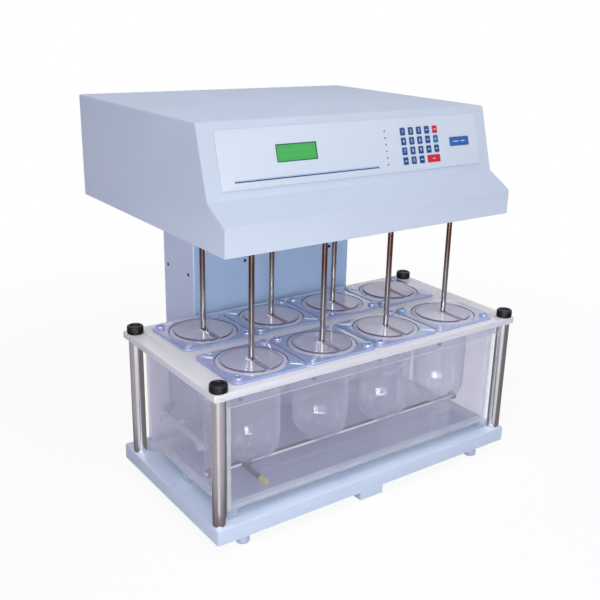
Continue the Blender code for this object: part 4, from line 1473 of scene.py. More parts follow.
@dataclass
class Vessels:
    """Round-bottomed glass vessels and their slotted covers."""

    radius: float = 0.052
    wall: float = 0.0022
    bottom: float = 0.1056
    top: float = 0.2986
    flange_radius: float = 0.063
    flange_bottom: float = 0.2936
    bowl_steps: int = 14
    cover_radius: float = 0.0545
    cover_bottom: float = 0.2989
    cover_top: float = 0.3019
    spigot_radius: float = 0.0480
    spigot_bottom: float = 0.2959
    hub_radius: float = 0.0105
    hub_top: float = 0.3039
    hole_radius: float = 0.0068
    slot_width: float = 0.0115
    slot_reach: float = 0.07
    cut_low: float = 0.28
    cut_high: float = 0.32

    def bowl(self, radius: float) -> list[Pair]:
        """Profile of the round bottom from the axis out to the straight wall.

        Args:
            radius: The bowl's radius.

        Returns:
            Radius and height of each point.
        """
        centre = self.bottom + self.radius
        angles = [math.pi / 2 * step / self.bowl_steps for step in range(self.bowl_steps + 1)]
        return [(radius * math.sin(turn), centre - radius * math.cos(turn)) for turn in angles]

    def build_vessel(self) -> Object:
        """One vessel with a rounded flange.

        Returns:
            The vessel.
        """
        inner = self.radius - self.wall
        wide, top, low = self.flange_radius, self.top, self.flange_bottom
        profile = self.bowl(inner)
        profile += [(inner, top - 0.0016), (inner + 0.0005, top - 0.0005), (inner + 0.0016, top)]
        profile += [(wide - 0.0016, top), (wide - 0.0005, top - 0.0005), (wide, top - 0.0016)]
        profile += [(wide, low + 0.0008), (wide - 0.0008, low), (self.radius + 0.001, low)]
        profile += [(self.radius, low - 0.0012)] + self.bowl(self.radius)[::-1]
        vessel = finish_faces(turned("vessel", profile, 96), Finishes.GLASS)
        return finish_faces(vessel, Finishes.GLASS_RIM, lambda face: face.center.z > low - 0.0014)

    def build_cover(self) -> Object:
        """One cover: a turned disc with a spigot and a hub, slotted to the front.

        Returns:
            The cover.
        """
        low, top, wide = self.cover_bottom, self.cover_top, self.cover_radius
        profile = [(0, self.hub_top), (self.hub_radius - 0.0006, self.hub_top)]
        profile += [(self.hub_radius, self.hub_top - 0.0006), (self.hub_radius, top)]
        profile += [(wide - 0.0007, top), (wide, top - 0.0007), (wide, low + 0.0005)]
        profile += [(wide - 0.0005, low), (self.spigot_radius, low)]
        profile += [(self.spigot_radius, self.spigot_bottom + 0.0005)]
        profile += [(self.spigot_radius - 0.0005, self.spigot_bottom), (0, self.spigot_bottom)]
        cover = turned("cover", profile, 96)
        half = self.slot_width / 2
        start, end = (0, 0, self.cut_low), (0, 0, self.cut_high)
        slot = box("slot", (-half, -self.slot_reach, self.cut_low), (half, 0, self.cut_high))
        carve(cover, slot, cylinder("hole", self.hole_radius, start, end, 40))
        finish_faces(cover, Finishes.COVER)
        rim = self.cover_radius - 0.0004

        def is_rim(face: Face) -> bool:
            """Faces of the disc's outer wall."""
            return face.center.to_2d().length > rim and low < face.center.z < top

        def is_slot_wall(face: Face) -> bool:
            """Faces of the slot's two sides."""
            return abs(face.normal.x) > 0.95 and abs(abs(face.center.x) - half) < 0.0003

        # Painted shade on the disc's outer wall.
        finish_faces(cover, Finishes.COVER_EDGE_SHADE, is_rim)
        finish_faces(cover, Finishes.SLOT_EDGE, is_slot_wall)

        def is_hub(face: Face) -> bool:
            """Faces of the raised hub."""
            return face.center.z > top + SELECT_ROOM

        return finish_faces(cover, Finishes.GLASS_RIM, is_hub)

    def build(self) -> None:
        """Build the eight vessels and covers."""
        vessel, cover = self.build_vessel(), self.build_cover()
        for number, x, y in stations():
            piece, node = copied(vessel, (x, y, 0)), f"vessel_{number}"
            present(piece, f"glass_vessel_{number}", f"{node}_body", Slot.GLASS, node)
            piece, body = copied(cover, (x, y, 0)), f"cover_{number}_body"
            present(piece, f"slotted_cover_{number}", body, Slot.ACRYLIC, f"vessel_cover_{number}")
        discard(vessel, cover)


@dataclass
class Spindles:
    """Stirrer shafts with their collars and toothed pulleys."""

    radius: float = 0.005
    tip: float = 0.2997
    chamfer: float = 0.001
    collar_radius: float = 0.009
    collar_bottom: float = 0.5036
    collar_top: float = 0.5116
    pulley_radius: float = 0.022
    pulley_bottom: float = 0.5452
    pulley_top: float = 0.5582
    pulley_rim: float = 0.0012
    pulley_groove: float = 0.0004
    top: float = 0.5622
    edge: float = 0.0007
    set_screw_radius: float = 0.0015
    set_screw_depth: float = 0.0018

    def build_spindle(self) -> Object:
        """One shaft, turned in a single profile, with a set screw in its collar.

        Returns:
            The spindle.
        """
        shaft, collar, pulley = self.radius, self.collar_radius, self.pulley_radius
        edge, rim, belt = self.edge, self.pulley_rim, self.pulley_radius - self.pulley_groove
        profile = [(0, self.top), (shaft - edge, self.top), (shaft, self.top - edge)]
        profile += [(shaft, self.pulley_top), (pulley, self.pulley_top)]
        profile += [(pulley, self.pulley_top - rim), (belt, self.pulley_top - rim - 0.0002)]
        profile += [(belt, self.pulley_bottom + rim + 0.0002)]
        profile += [(pulley, self.pulley_bottom + rim), (pulley, self.pulley_bottom)]
        profile += [(shaft, self.pulley_bottom), (shaft, self.collar_top)]
        profile += [(collar - edge, self.collar_top), (collar, self.collar_top - edge)]
        profile += [(collar, self.collar_bottom + edge), (collar - edge, self.collar_bottom)]
        profile += [(shaft, self.collar_bottom), (shaft, self.tip + self.chamfer)]
        profile += [(shaft - self.chamfer, self.tip), (0, self.tip)]
        spindle = turned("spindle", profile, 64)
        middle = (self.collar_bottom + self.collar_top) / 2
        start, end = (0, -0.02, middle), (0, self.set_screw_depth - collar, middle)
        hole = cylinder("set_screw", self.set_screw_radius, start, end, 12)
        return finish_faces(carve(spindle, hole), Finishes.SHAFT)

    def build(self) -> None:
        """Build the eight spindles."""
        spindle = self.build_spindle()
        for number, x, y in stations():
            piece, node = copied(spindle, (x, y, 0)), f"spindle_{number}"
            present(piece, f"stirrer_shaft_{number}", f"{node}_body", Slot.SHAFT, node)
        discard(spindle)


@dataclass
class Tank:
    """Clear bath of five glued sheets, with its rim strips and pads."""

    half_x: float = 0.315
    half_y: float = 0.150
    bottom: float = 0.0633
    floor: float = 0.0733
    top: float = 0.2768
    wall: float = 0.010
    glue: float = 0.0002
    corner_strip: float = 0.0075
    edge: float = 0.0006
    strip_height: float = 0.020
    strip_thickness: float = 0.003
    pad_size: float = 0.020
    pad_bottom: float = 0.0473

    def sheet(self, name: str, low: Point, high: Point) -> Object:
        """One clear sheet whose narrow faces are frosted.

        Args:
            name: The sheet's name.
            low: Lowest corner.
            high: Highest corner.

        Returns:
            The sheet.
        """
        sheet = round_edges(box(name, low, high), self.edge, 1)
        spans = [high[index] - low[index] for index in range(3)]
        thin = spans.index(min(spans))
        finish_faces(sheet, Finishes.ACRYLIC)

        def is_frosted(face: Face) -> bool:
            """Sawn narrow faces; the glued upright ones stay clear."""
            return abs(face.normal[thin]) < 0.9 and (thin == 2 or abs(face.normal.z) > 0.5)

        return finish_faces(sheet, Finishes.ACRYLIC_EDGE, is_frosted)

    def build_walls(self) -> Object:
        """The four walls and the floor.

        Returns:
            The walls as one piece.
        """
        x, y, wall, glue = self.half_x, self.half_y, self.wall, self.glue
        front, back = BATH_Y - y, BATH_Y + y
        low, top = self.bottom, self.top
        corner = x - self.corner_strip
        reach = corner - glue
        sheets = [
            self.sheet("front_sheet", (-reach, front, low), (reach, front + wall, top)),
            self.sheet("back_sheet", (-x, back - wall, low), (x, back, top)),
        ]
        finish_faces(sheets[1], Finishes.ACRYLIC_BACK, lambda face: abs(face.normal.y) > 0.9)
        inner_front, inner_back = front + wall + glue, back - wall - glue
        for side in SIDES.values():
            ends = sorted((side * corner, side * x))
            strip = box("strip", (ends[0], front, low), (ends[1], front + wall, top))
            sheets.append(finish_faces(round_edges(strip, self.edge, 1), Finishes.ACRYLIC_EDGE))
            ends = sorted((side * x, side * (x - wall)))
            end = self.sheet("end_sheet", (ends[0], inner_front, low), (ends[1], inner_back, top))
            finish_faces(end, Finishes.ACRYLIC_END, lambda face: abs(face.normal.x) > 0.9)
            sheets.append(end)
        reach = x - wall - glue
        floor_low, floor_high = (-reach, inner_front, low), (reach, inner_back, self.floor)
        sheets.append(self.sheet("floor_sheet", floor_low, floor_high))
        return joined(*sheets)

    def build_strips(self) -> Object:
        """The strips round the rim.

        Returns:
            The strips as one piece.
        """
        x, y, thick, glue = self.half_x, self.half_y, self.strip_thickness, self.glue
        low, top = self.top - self.strip_height, self.top
        front, back = BATH_Y - y, BATH_Y + y
        strips = [
            self.sheet("strip", (-x - thick, front - thick, low), (x + thick, front - glue, top)),
            self.sheet("strip", (-x - thick, back + glue, low), (x + thick, back + thick, top)),
        ]
        for side in SIDES.values():
            ends = sorted((side * (x + glue), side * (x + thick)))
            strips.append(self.sheet("strip", (ends[0], front, low), (ends[1], back, top)))
        return joined(*strips)

    def build_pads(self) -> Object:
        """Six clear pads under the tank.

        Returns:
            The pads as one piece.
        """
        half = self.pad_size / 2
        high = self.bottom - self.glue
        pads = []
        for side in SIDES.values():
            for row in (-1, 0, 1):
                x, y = side * (self.half_x - half), BATH_Y + row * (self.half_y - half)
                low, top = (x - half, y - half, self.pad_bottom), (x + half, y + half, high)
                pads.append(round_edges(box("pad", low, top), 0.001, 2))
        return finish_faces(joined(*pads), Finishes.PAD)

    def build(self) -> None:
        """Build the tank."""
        present(self.build_walls(), "clear_tank_walls", "base", Slot.ACRYLIC, "bath_tank")
        present(self.build_strips(), "clear_tank_rim_strips", "base", Slot.ACRYLIC)
        present(self.build_pads(), "clear_tank_pads", "base", Slot.ACRYLIC)


@dataclass
class TankFittings:
    """Circulation pipe, heater rod and sensor inside the tank."""

    pipe_x: float = -0.292
    pipe_z: float = 0.1273
    pipe_front: float = -0.1514
    pipe_back: float = 0.0086
    pipe_radius: float = 0.006
    branch_y: float = -0.0404
    branch_end: float = -0.276
    wall_x: float = -0.3047
    nut_end: float = -0.295
    heater_y: float = -0.1764
    heater_z: float = 0.0893
    heater_reach: float = 0.3047
    heater_radius: float = 0.0045
    gland_length: float = 0.009
    nut_radius: float = 0.010
    nut_inset: float = 0.010
    outlet_radius: float = 0.004
    tee_x: float = -0.224
    tee_half: Point = (0.010, 0.007, 0.007)
    sensor_z: float = 0.0803
    stem_radius: float = 0.005
    stem_length: float = 0.054
    brass_start: float = 0.052
    tip_start: float = 0.057
    tip_end: float = 0.070
    brass_nut_radius: float = 0.0064
    tip_radius: float = 0.0056

    def build_pipe(self) -> Object:
        """The clear pipe with open ends, its two hexagon nuts and its outlet.

        Returns:
            The pipe.
        """
        x, z, radius = self.pipe_x, self.pipe_z, self.pipe_radius
        pipe = cylinder("pipe", radius, (x, self.pipe_front, z), (x, self.pipe_back, z), 40)
        with editing(pipe, "FACE"):
            pick(pipe, "FACE", lambda face: abs(face.normal.y) > 0.9)
            bpy.ops.mesh.inset(thickness=0.0016)
            bpy.ops.mesh.inset(thickness=0.0001, depth=-0.03)
        start, end = (x, self.branch_y, z), (self.branch_end, self.branch_y, z)
        outlet = cylinder("outlet", self.outlet_radius, start, end)
        nuts = []
        for y in (self.pipe_front + self.nut_inset, self.pipe_back - self.nut_inset):
            start, end = (self.wall_x, y, z), (self.nut_end, y, z)
            nuts.append(round_edges(cylinder("nut", self.nut_radius, start, end, 6), 0.0006, 2))
        return finish_faces(joined(pipe, round_edges(outlet, 0.0005, 2), *nuts), Finishes.PIPE)

    def build_heater(self) -> Object:
        """The dark heater rod with its glands, the tee and the brass-tipped sensor.

        Returns:
            The heater with its sensor.
        """
        y, z, reach = self.heater_y, self.heater_z, self.heater_reach
        rod = cylinder("rod", self.heater_radius, (-reach, y, z), (reach, y, z), 32)
        parts = []
        for side in SIDES.values():
            start, end = (side * reach, y, z), (side * (reach - self.gland_length), y, z)
            parts.append(round_edges(cylinder("gland", self.nut_radius, start, end, 6), 0.0007, 2))
        tee, half = Vector((self.tee_x, y, z)), Vector(self.tee_half)
        parts.append(round_edges(box("tee", tee - half, tee + half), 0.0018, 3))

        def along_sensor(name: str, radius: float, near: float, far: float, sides: int) -> Object:
            """A round or six-sided bar between two distances from the heater rod.

            Args:
                name: The bar's name.
                radius: Its radius.
                near: The nearer distance.
                far: The farther distance.
                sides: Number of flat sides.

            Returns:
                The bar.
            """
            ends = [(self.tee_x, y - reach, self.sensor_z) for reach in (near, far)]
            return cylinder(name, radius, *ends, sides)

        parts.append(along_sensor("stem", self.stem_radius, 0, self.stem_length, 32))
        finish_faces(rod, Finishes.DARK_STEEL)
        heater = joined(rod, finish_faces(joined(*parts), Finishes.STEM))
        nut = along_sensor("nut", self.brass_nut_radius, self.brass_start, self.tip_start, 6)
        tip = along_sensor("tip", self.tip_radius, self.tip_start, self.tip_end, 32)
        brass = joined(round_edges(nut, 0.0005, 2), round_edges(tip, 0.0012, 3))
        return joined(heater, finish_faces(brass, Finishes.BRASS))

    def build(self) -> None:
        """Build the pipe and the heater."""
        pipe, heater = self.build_pipe(), self.build_heater()
        present(pipe, "clear_circulation_pipe", "base", Slot.ACRYLIC, "circulation_pipe")
        present(heater, "heater_and_sensor", "base", Slot.METAL, "heater_rod")


@dataclass
class HeadCover:
    """Folded sheet cover of the drive head."""

    half_width: float = 0.316
    front: float = -0.2653
    back: float = 0.2876
    bottom: float = 0.5079
    lip_top: float = 0.5539
    chin_y: float = -0.2120
    chin_top: float = 0.5846
    slope_y: float = -0.1770
    top: float = 0.7033
    bend: float = 0.003
    sheet: float = 0.0015

    def build(self) -> None:
        """Build the cover: a closed block, opened below, bent and given its sheet's thickness."""
        outline = [(self.front, self.bottom), (self.front, self.lip_top)]
        outline += [(self.chin_y, self.chin_top), (self.slope_y, self.top)]
        outline += [(self.back, self.top), (self.back, self.bottom)]
        cover = prism("cover", outline, -self.half_width, self.half_width)
        placed(cover, Matrix(((0, 0, 1, 0), (1, 0, 0, 0), (0, 1, 0, 0), (0, 0, 0, 1))))
        with editing(cover, "FACE"):
            pick(cover, "FACE", lambda face: face.normal.z < -0.9)
            bpy.ops.mesh.delete(type="ONLY_FACE")
        round_edges(cover, self.bend, 4, lambda edge: edge_turns(edge, 5))
        modified(cover, "SOLIDIFY", thickness=self.sheet, offset=-1, use_even_offset=True)
        finish_faces(cover, Finishes.HEAD)
        present(cover, "folded_head_cover", "head", Slot.HEAD, "head_cover")


class KeyKind(Enum):
    """Kinds of key on the panel."""

    PLAIN = "plain"
    STOP = "stop"
    ACCENT = "accent"


KEY_FINISHES = {
    KeyKind.PLAIN: Finishes.KEY_BLUE,
    KeyKind.STOP: Finishes.KEY_RED,
    KeyKind.ACCENT: Finishes.KEY_TEAL,
}


@dataclass
class ControlPanel:
    """Overlay film with its display, keys, lamps and printed lines, on the head's slope."""

    slope_top: Point = (0, -0.1770, 0.7033)
    slope_foot: Point = (0, -0.2120, 0.5846)
    half_width: float = 0.287
    film_top: float = 0.0137
    film_height: float = 0.096
    film_low: float = 0.0003
    film_high: float = 0.0015
    corner: float = 0.002
    display_left: float = -0.1768
    display_width: float = 0.0822
    display_top: float = 0.0425
    display_height: float = 0.0296
    key_width: float = 0.012
    key_height: float = 0.0138
    key_rise: float = 0.0008
    key_corner: float = 0.0016
    key_xs: tuple[float, ...] = (0.099, 0.1188, 0.1386, 0.1584, 0.1782)
    key_rows: tuple[float, ...] = (0.038, 0.0557, 0.0734, 0.0911)
    digits: tuple[str, ...] = ("123", "456", "789", " 0 ")
    digit_size: float = 0.0092
    lamp_x: float = 0.057
    lamp_rows: tuple[float, ...] = (0.0348, 0.0467, 0.0586, 0.0704, 0.0823, 0.0942)
    button: tuple[float, float, float, float] = (0.213, 0.263, 0.055, 0.072)
    button_bars: tuple[Pair, ...] = ((-0.009, 0.007), (0.009, 0.005))
    blank_bar: Pair = (0.003, 0.0007)
    button_bar_half: float = 0.0008
    print_rise: float = 0.0001
    line_ends: Pair = (-0.262, 0.035)
    dark_line: Pair = (-0.0984, -0.0964)
    light_line: Pair = (-0.0958, -0.0947)
    display_gap: float = 0.0002
    display_high: float = 0.0019
    frame_width: float = 0.0011
    lamp_radius: float = 0.0017
    lamp_rise: float = 0.0009

    @property
    def key_span(self) -> Pair:
        """Lowest and highest points of a key above the panel's plane."""
        return (self.film_high + 0.00005, self.film_high + self.key_rise)

    def frame(self) -> Matrix:
        """Matrix from the panel's plane (x right, y up the slope) to the head's slope.

        Returns:
            The matrix.
        """
        top, foot = Vector(self.slope_top), Vector(self.slope_foot)
        up = (top - foot).normalized()
        across = Vector((1, 0, 0))
        return from_columns(across, up, across.cross(up), top)

    def slab(self, name: str, area: Sequence[float], rise: Point, corner: float) -> Object:
        """A flat piece on the panel.

        Args:
            name: The piece's name.
            area: Left and right sides, then top and foot as distances down the slope.
            rise: Its two heights above the panel's plane.
            corner: Radius of its corners.

        Returns:
            The piece.
        """
        left, right, top, foot = area
        low, high = (left, -foot, rise[0]), (right, -top, rise[1])
        edge = min((rise[1] - rise[0]) * 0.4, 0.0004)
        return rounded_box(name, low, high, corner, edge)

    def build_film(self) -> Object:
        """The overlay with its display cut-out and printed double line.

        Returns:
            The film on the slope.
        """
        area = (-self.half_width, self.half_width, self.film_top, self.film_top + self.film_height)
        film = self.slab("film", area, (self.film_low, self.film_high), self.corner)
        low = (self.display_left, -self.display_top - self.display_height, -0.01)
        high = (self.display_left + self.display_width, -self.display_top, 0.01)
        carve(film, box("window", low, high))
        finish_faces(film, Finishes.FILM)
        left, right = self.line_ends
        under, over = self.film_high - 0.0001, self.film_high + 0.00008
        for (foot, top), finish in (
            (self.dark_line, Finishes.LINE_DARK),
            (self.light_line, Finishes.LINE_LIGHT),
        ):
            line = box("line", (left, foot, under), (right, top, over))
            film = joined(film, finish_faces(line, finish))
        return placed(film, self.frame())

    def build_display(self) -> Object:
        """The lit display in its dark frame.

        Returns:
            The display on the slope.
        """
        gap = self.display_gap
        left, right = self.display_left + gap, self.display_left + self.display_width - gap
        top, foot = self.display_top + gap, self.display_top + self.display_height - gap
        display = box("display", (left, -foot, self.film_low), (right, -top, self.display_high))
        with editing(display, "FACE"):
            pick(display, "FACE", lambda face: face.normal.z > 0.9)
            bpy.ops.mesh.inset(thickness=self.frame_width)
            bpy.ops.mesh.inset(thickness=0.0003, depth=-0.0008)
        finish_faces(display, Finishes.FRAME)
        inner = left + self.frame_width + SELECT_ROOM

        def is_screen(face: Face) -> bool:
            """The sunk face in the middle."""
            sunk = 0.0005 < face.center.z < 0.0015
            return face.normal.z > 0.9 and sunk and face.center.x > inner

        finish_faces(display, Finishes.DISPLAY, is_screen)
        return placed(display, self.frame())

    def mark(self, letter: str, x: float, y: float, height: float) -> Object:
        """White print on a key: a digit, or a short bar where it is blank.

        Args:
            letter: The digit or the blank.
            x: Place of its middle across the panel.
            y: Place of its middle up the slope.
            height: The key's top.

        Returns:
            The print.
        """
        if letter == " ":
            half, tall = self.blank_bar
            low, high = (x - half, y - tall, height), (x + half, y + tall, height + self.print_rise)
            return finish_faces(box("bar", low, high), Finishes.MARK)
        deselect_all()
        bpy.ops.object.text_add(location=(x, y, height))
        text = bpy.context.object
        text.data.body = letter
        text.data.size = self.digit_size
        text.data.align_x = "CENTER"
        text.data.align_y = "CENTER"
        text.data.extrude = self.print_rise
        bpy.ops.object.convert(target="MESH")
        return finish_faces(settle(bpy.context.object), Finishes.MARK)

    def build_key(
        self, name: str, x: float, u: float, kind: KeyKind, letter: str, width: float
    ) -> Object:
        """One embossed key with its print.

        Args:
            name: The key's name.
            x: Place across the panel.
            u: Distance down the slope.
            kind: Which kind of key it is.
            letter: A digit, or a blank for a bar.
            width: The key's width.

        Returns:
            The key on the slope.
        """
        half, tall = width / 2, self.key_height / 2
        area = (x - half, x + half, u - tall, u + tall)
        key = self.slab(name, area, self.key_span, self.key_corner)
        finish_faces(key, KEY_FINISHES[kind])
        return placed(joined(key, self.mark(letter, x, -u, self.key_span[1])), self.frame())

    def build_button(self) -> Object:
        """The long key with its two printed bars.

        Returns:
            The key on the slope.
        """
        left, right, top, foot = self.button
        button = self.slab("key_long", self.button, self.key_span, self.corner)
        finish_faces(button, Finishes.KEY_LONG)
        middle, y, under = (left + right) / 2, -(top + foot) / 2, self.key_span[1]
        for shift, half in self.button_bars:
            low = (middle + shift - half, y - self.button_bar_half, under)
            high = (middle + shift + half, y + self.button_bar_half, under + self.print_rise)
            button = joined(button, finish_faces(box("bar", low, high), Finishes.MARK))
        return placed(button, self.frame())

    def build_keys(self) -> list[Object]:
        """All the keys, row by row.

        Returns:
            The keys.
        """
        keys = []
        last = len(self.key_rows) - 1
        for row, u in enumerate(self.key_rows):
            for column, x in enumerate(self.key_xs):
                if row == last and column > 2:
                    continue
                kind = KeyKind.PLAIN
                if column == 4 and row < 2:
                    kind = (KeyKind.STOP, KeyKind.ACCENT)[row]
                letter = self.digits[row][column] if column < 3 else " "
                name = f"key_row_{row + 1}_{column + 1}"
                keys.append(self.build_key(name, x, u, kind, letter, self.key_width))
        x = (self.key_xs[3] + self.key_xs[4]) / 2
        width = self.key_xs[4] - self.key_xs[3] + self.key_width
        keys.append(self.build_key("key_wide", x, self.key_rows[last], KeyKind.STOP, " ", width))
        return keys + [self.build_button()]

    def build_lamps(self) -> Object:
        """A column of small domed lamps.

        Returns:
            The lamps as one piece.
        """
        radius, rise, base = self.lamp_radius, self.lamp_rise, self.film_high
        steps = [math.pi / 2 * step / 4 for step in range(5)]
        dome = [(radius * math.sin(turn), base + rise * math.cos(turn)) for turn in steps]
        model = turned("lamp", dome + [(0, base)], 20)
        lamps = [copied(model, (self.lamp_x, -u, 0)) for u in self.lamp_rows]
        discard(model)
        return placed(finish_faces(joined(*lamps), Finishes.LAMP), self.frame())

    def build(self) -> None:
        """Build the whole panel."""
        present(self.build_film(), "overlay_film", "head", Slot.FILM, "control_panel")
        present(self.build_display(), "lit_display", "head", Slot.DISPLAY, "display_window")
        for key in self.build_keys():
            present(key, key.name, "head", Slot.FILM)
        present(self.build_lamps(), "status_lamps", "head", Slot.FILM)


@dataclass
class ColumnTrim:
    """Screws on the column shell and the mains inlet at its back."""

    half_width: float = 0.192
    front: float = 0.0686
    back: float = 0.1946
    side_screws: tuple[Pair, ...] = ((0.0886, 0.370), (0.1746, 0.370), (0.1746, 0.241))
    front_screws: tuple[Pair, ...] = ((-0.074, 0.387), (0.139, 0.387), (0.149, 0.215))
    head_radius: float = 0.0034
    head_rise: float = 0.0020
    head_gap: float = 0.0002
    inlet_x: float = 0.120
    inlet_z: float = 0.107
    inlet_flange: Pair = (0.050, 0.030)
    inlet_body: Pair = (0.028, 0.021)
    inlet_depth: float = 0.024
    inlet_wall: float = 0.002
    inlet_corner: float = 0.003
    flange_thick: float = 0.003
    blade_spots: tuple[Pair, ...] = ((-0.0065, -0.002), (0, 0.003), (0.0065, -0.002))
    blade_half: Pair = (0.001, 0.002)
    flange_screw_x: float = 0.0195
    flange_screw_scale: Point = (0.75, 0.75, 0.2, 1)

    def build_screw(self) -> Object:
        """One domed screw with a cross recess, pointing up.

        Returns:
            The screw.
        """
        wide, tall, low = self.head_radius, self.head_rise, self.head_gap
        profile = [(0, tall), (wide * 0.5, tall * 0.93), (wide * 0.85, tall * 0.6)]
        profile += [(wide, low), (0, low)]
        screw = turned("screw", profile, 28)
        arm, thin = wide * 0.55, wide * 0.12
        for x, y in ((arm, thin), (thin, arm)):
            carve(screw, box("slot", (-x, -y, tall * 0.45), (x, y, tall * 2)))
        return finish_faces(screw, Finishes.BLACK)

    def screw_frames(self) -> dict[str, Matrix]:
        """Name and frame of each screw on both sides and on the front.

        Returns:
            The frames by name.
        """
        frames = {}
        for side, sign in SIDES.items():
            turn = Matrix.Rotation(sign * math.pi / 2, 4, "Y")
            for number, (y, z) in enumerate(self.side_screws, start=1):
                spot = Matrix.Translation((sign * self.half_width, y, z))
                frames[f"column_screw_{side}_{number}"] = spot @ turn
        turn = Matrix.Rotation(math.pi / 2, 4, "X")
        for number, (x, z) in enumerate(self.front_screws, start=1):
            spot = Matrix.Translation((x, self.front, z))
            frames[f"column_screw_front_{number}"] = spot @ turn
        return frames

    def build_housing(self, y: float, deep: float) -> Object:
        """The inlet's flange and its hollow body.

        Args:
            y: The flange's front.
            deep: The body's front, inside the column.

        Returns:
            The housing.
        """
        x, z, wall, corner = self.inlet_x, self.inlet_z, self.inlet_wall, self.inlet_corner
        wide, tall = self.inlet_flange[0] / 2, self.inlet_flange[1] / 2
        low, high = (x - wide, y, z - tall), (x + wide, y + self.flange_thick, z + tall)
        inlet = round_edges(box("inlet", low, high), corner, 4, along(1))
        round_edges(inlet, 0.0006, 2, lambda edge: edge_turns(edge, RIM_DEGREES))
        wide, tall = self.inlet_body[0] / 2, self.inlet_body[1] / 2
        body = box("body", (x - wide, deep, z - tall), (x + wide, y + 0.001, z + tall))
        carve(inlet, body, operation="UNION")
        low, high = (x - wide, deep + wall, z - tall), (x + wide, y + 0.02, z + tall)
        shrink = Vector((wall, 0, wall))
        pocket = box("pocket", Vector(low) + shrink, Vector(high) - shrink)
        carve(inlet, round_edges(pocket, corner, 3, along(1)))
        return finish_faces(inlet, Finishes.BLACK)

    def build_inlet(self) -> Object:
        """The mains inlet: its housing, three blades and two flange screws.

        Returns:
            The inlet.
        """
        x, y, z = self.inlet_x, self.back + 0.0003, self.inlet_z
        deep = y + self.flange_thick / 2 - self.inlet_depth
        pieces = [self.build_housing(y, deep)]
        across, up = self.blade_half
        for shift, lift in self.blade_spots:
            low = (x + shift - across, deep + self.inlet_wall - 0.0005, z + lift - up)
            blade = box("blade", low, (x + shift + across, y - 0.006, z + lift + up))
            pieces.append(finish_faces(round_edges(blade, 0.0004, 2), Finishes.STEEL))
        screw = self.build_screw()
        placed(screw, Matrix.Diagonal(self.flange_screw_scale))
        placed(screw, Matrix.Rotation(-math.pi / 2, 4, "X"))
        for side in SIDES.values():
            spot = (x + side * self.flange_screw_x, y + self.flange_thick - 0.0004, z)
            pieces.append(copied(screw, spot))
        discard(screw)
        return joined(*pieces)

    def build(self) -> None:
        """Build the screws and the inlet."""
        model = self.build_screw()
        for name, frame in self.screw_frames().items():
            present(placed(copied(model), frame), name, "base", Slot.METAL)
        discard(model)
        present(self.build_inlet(), "mains_socket", "base", Slot.BLACK, "mains_inlet")


DRESSED_NODES = {
    "column_shell": Finishes.COLUMN,
    "head_chassis": Finishes.ALUMINIUM,
    "lift_actuator": Finishes.ALUMINIUM,
    "lift_mast": Finishes.CHROME,
    "drive_belt": Finishes.BELT,
    "drive_motor": Finishes.CAST,
    "motor_pulley": Finishes.ALUMINIUM,
}


def dress_kept_nodes(nodes: dict[str, Object]) -> None:
    """Give the CAD nodes that stay in view their finishes.

    Args:
        nodes: The nodes by name.
    """
    for name, finish in DRESSED_NODES.items():
        node = nodes[name]
        if not node.material_slots:
            node.data.materials.append(None)
        for slot in node.material_slots:
            slot.material = Finishes.get(finish)
        LOG.info("%s keeps its solid and wears %s", name, finish.name)


# Studio


@dataclass(frozen=True)
class Lamp:
    """One soft square lamp: its place, what it faces, its side, its watts and its colour."""

    name: str
    place: Point
    target: Point
    size: float
    power: float
    colour: Colour

    def build(self) -> None:
        """Build the lamp."""
        data = bpy.data.lights.new(self.name, "AREA")
        data.size = self.size
        data.energy = self.power
        data.color = self.colour
        lamp = bpy.data.objects.new(self.name, data)
        lamp.location = self.place
        aim = Vector(self.target) - Vector(self.place)
        lamp.rotation_euler = aim.to_track_quat("-Z", "Y").to_euler()
        bpy.context.scene.collection.objects.link(lamp)


LAMPS = (
    Lamp("key_lamp", (1.0, -2.5, 1.9), (0, -0.1, 0.35), 1.5, 15.6, (1.0, 1.0, 0.96)),
    Lamp("top_lamp", (-0.4, -0.5, 2.6), (0, 0, 0.4), 1.6, 18.5, (1.0, 1.0, 0.98)),
    Lamp("front_lamp", (-1.0, -1.5, 0.62), (0, -0.1, 0.3), 0.42, 5.7, (1.0, 1.0, 0.96)),
)

DARK_CARDS = {
    "front_left": ((-0.3003, -0.290), (-0.3003, -0.270)),
    "front_right": ((0.322, -0.338), (0.402, -0.258)),
    "back_left": ((-0.3174, -0.065), (-0.3174, 0.052)),
    "right_wall": ((0.3174, -0.268), (0.3174, -0.160)),
}


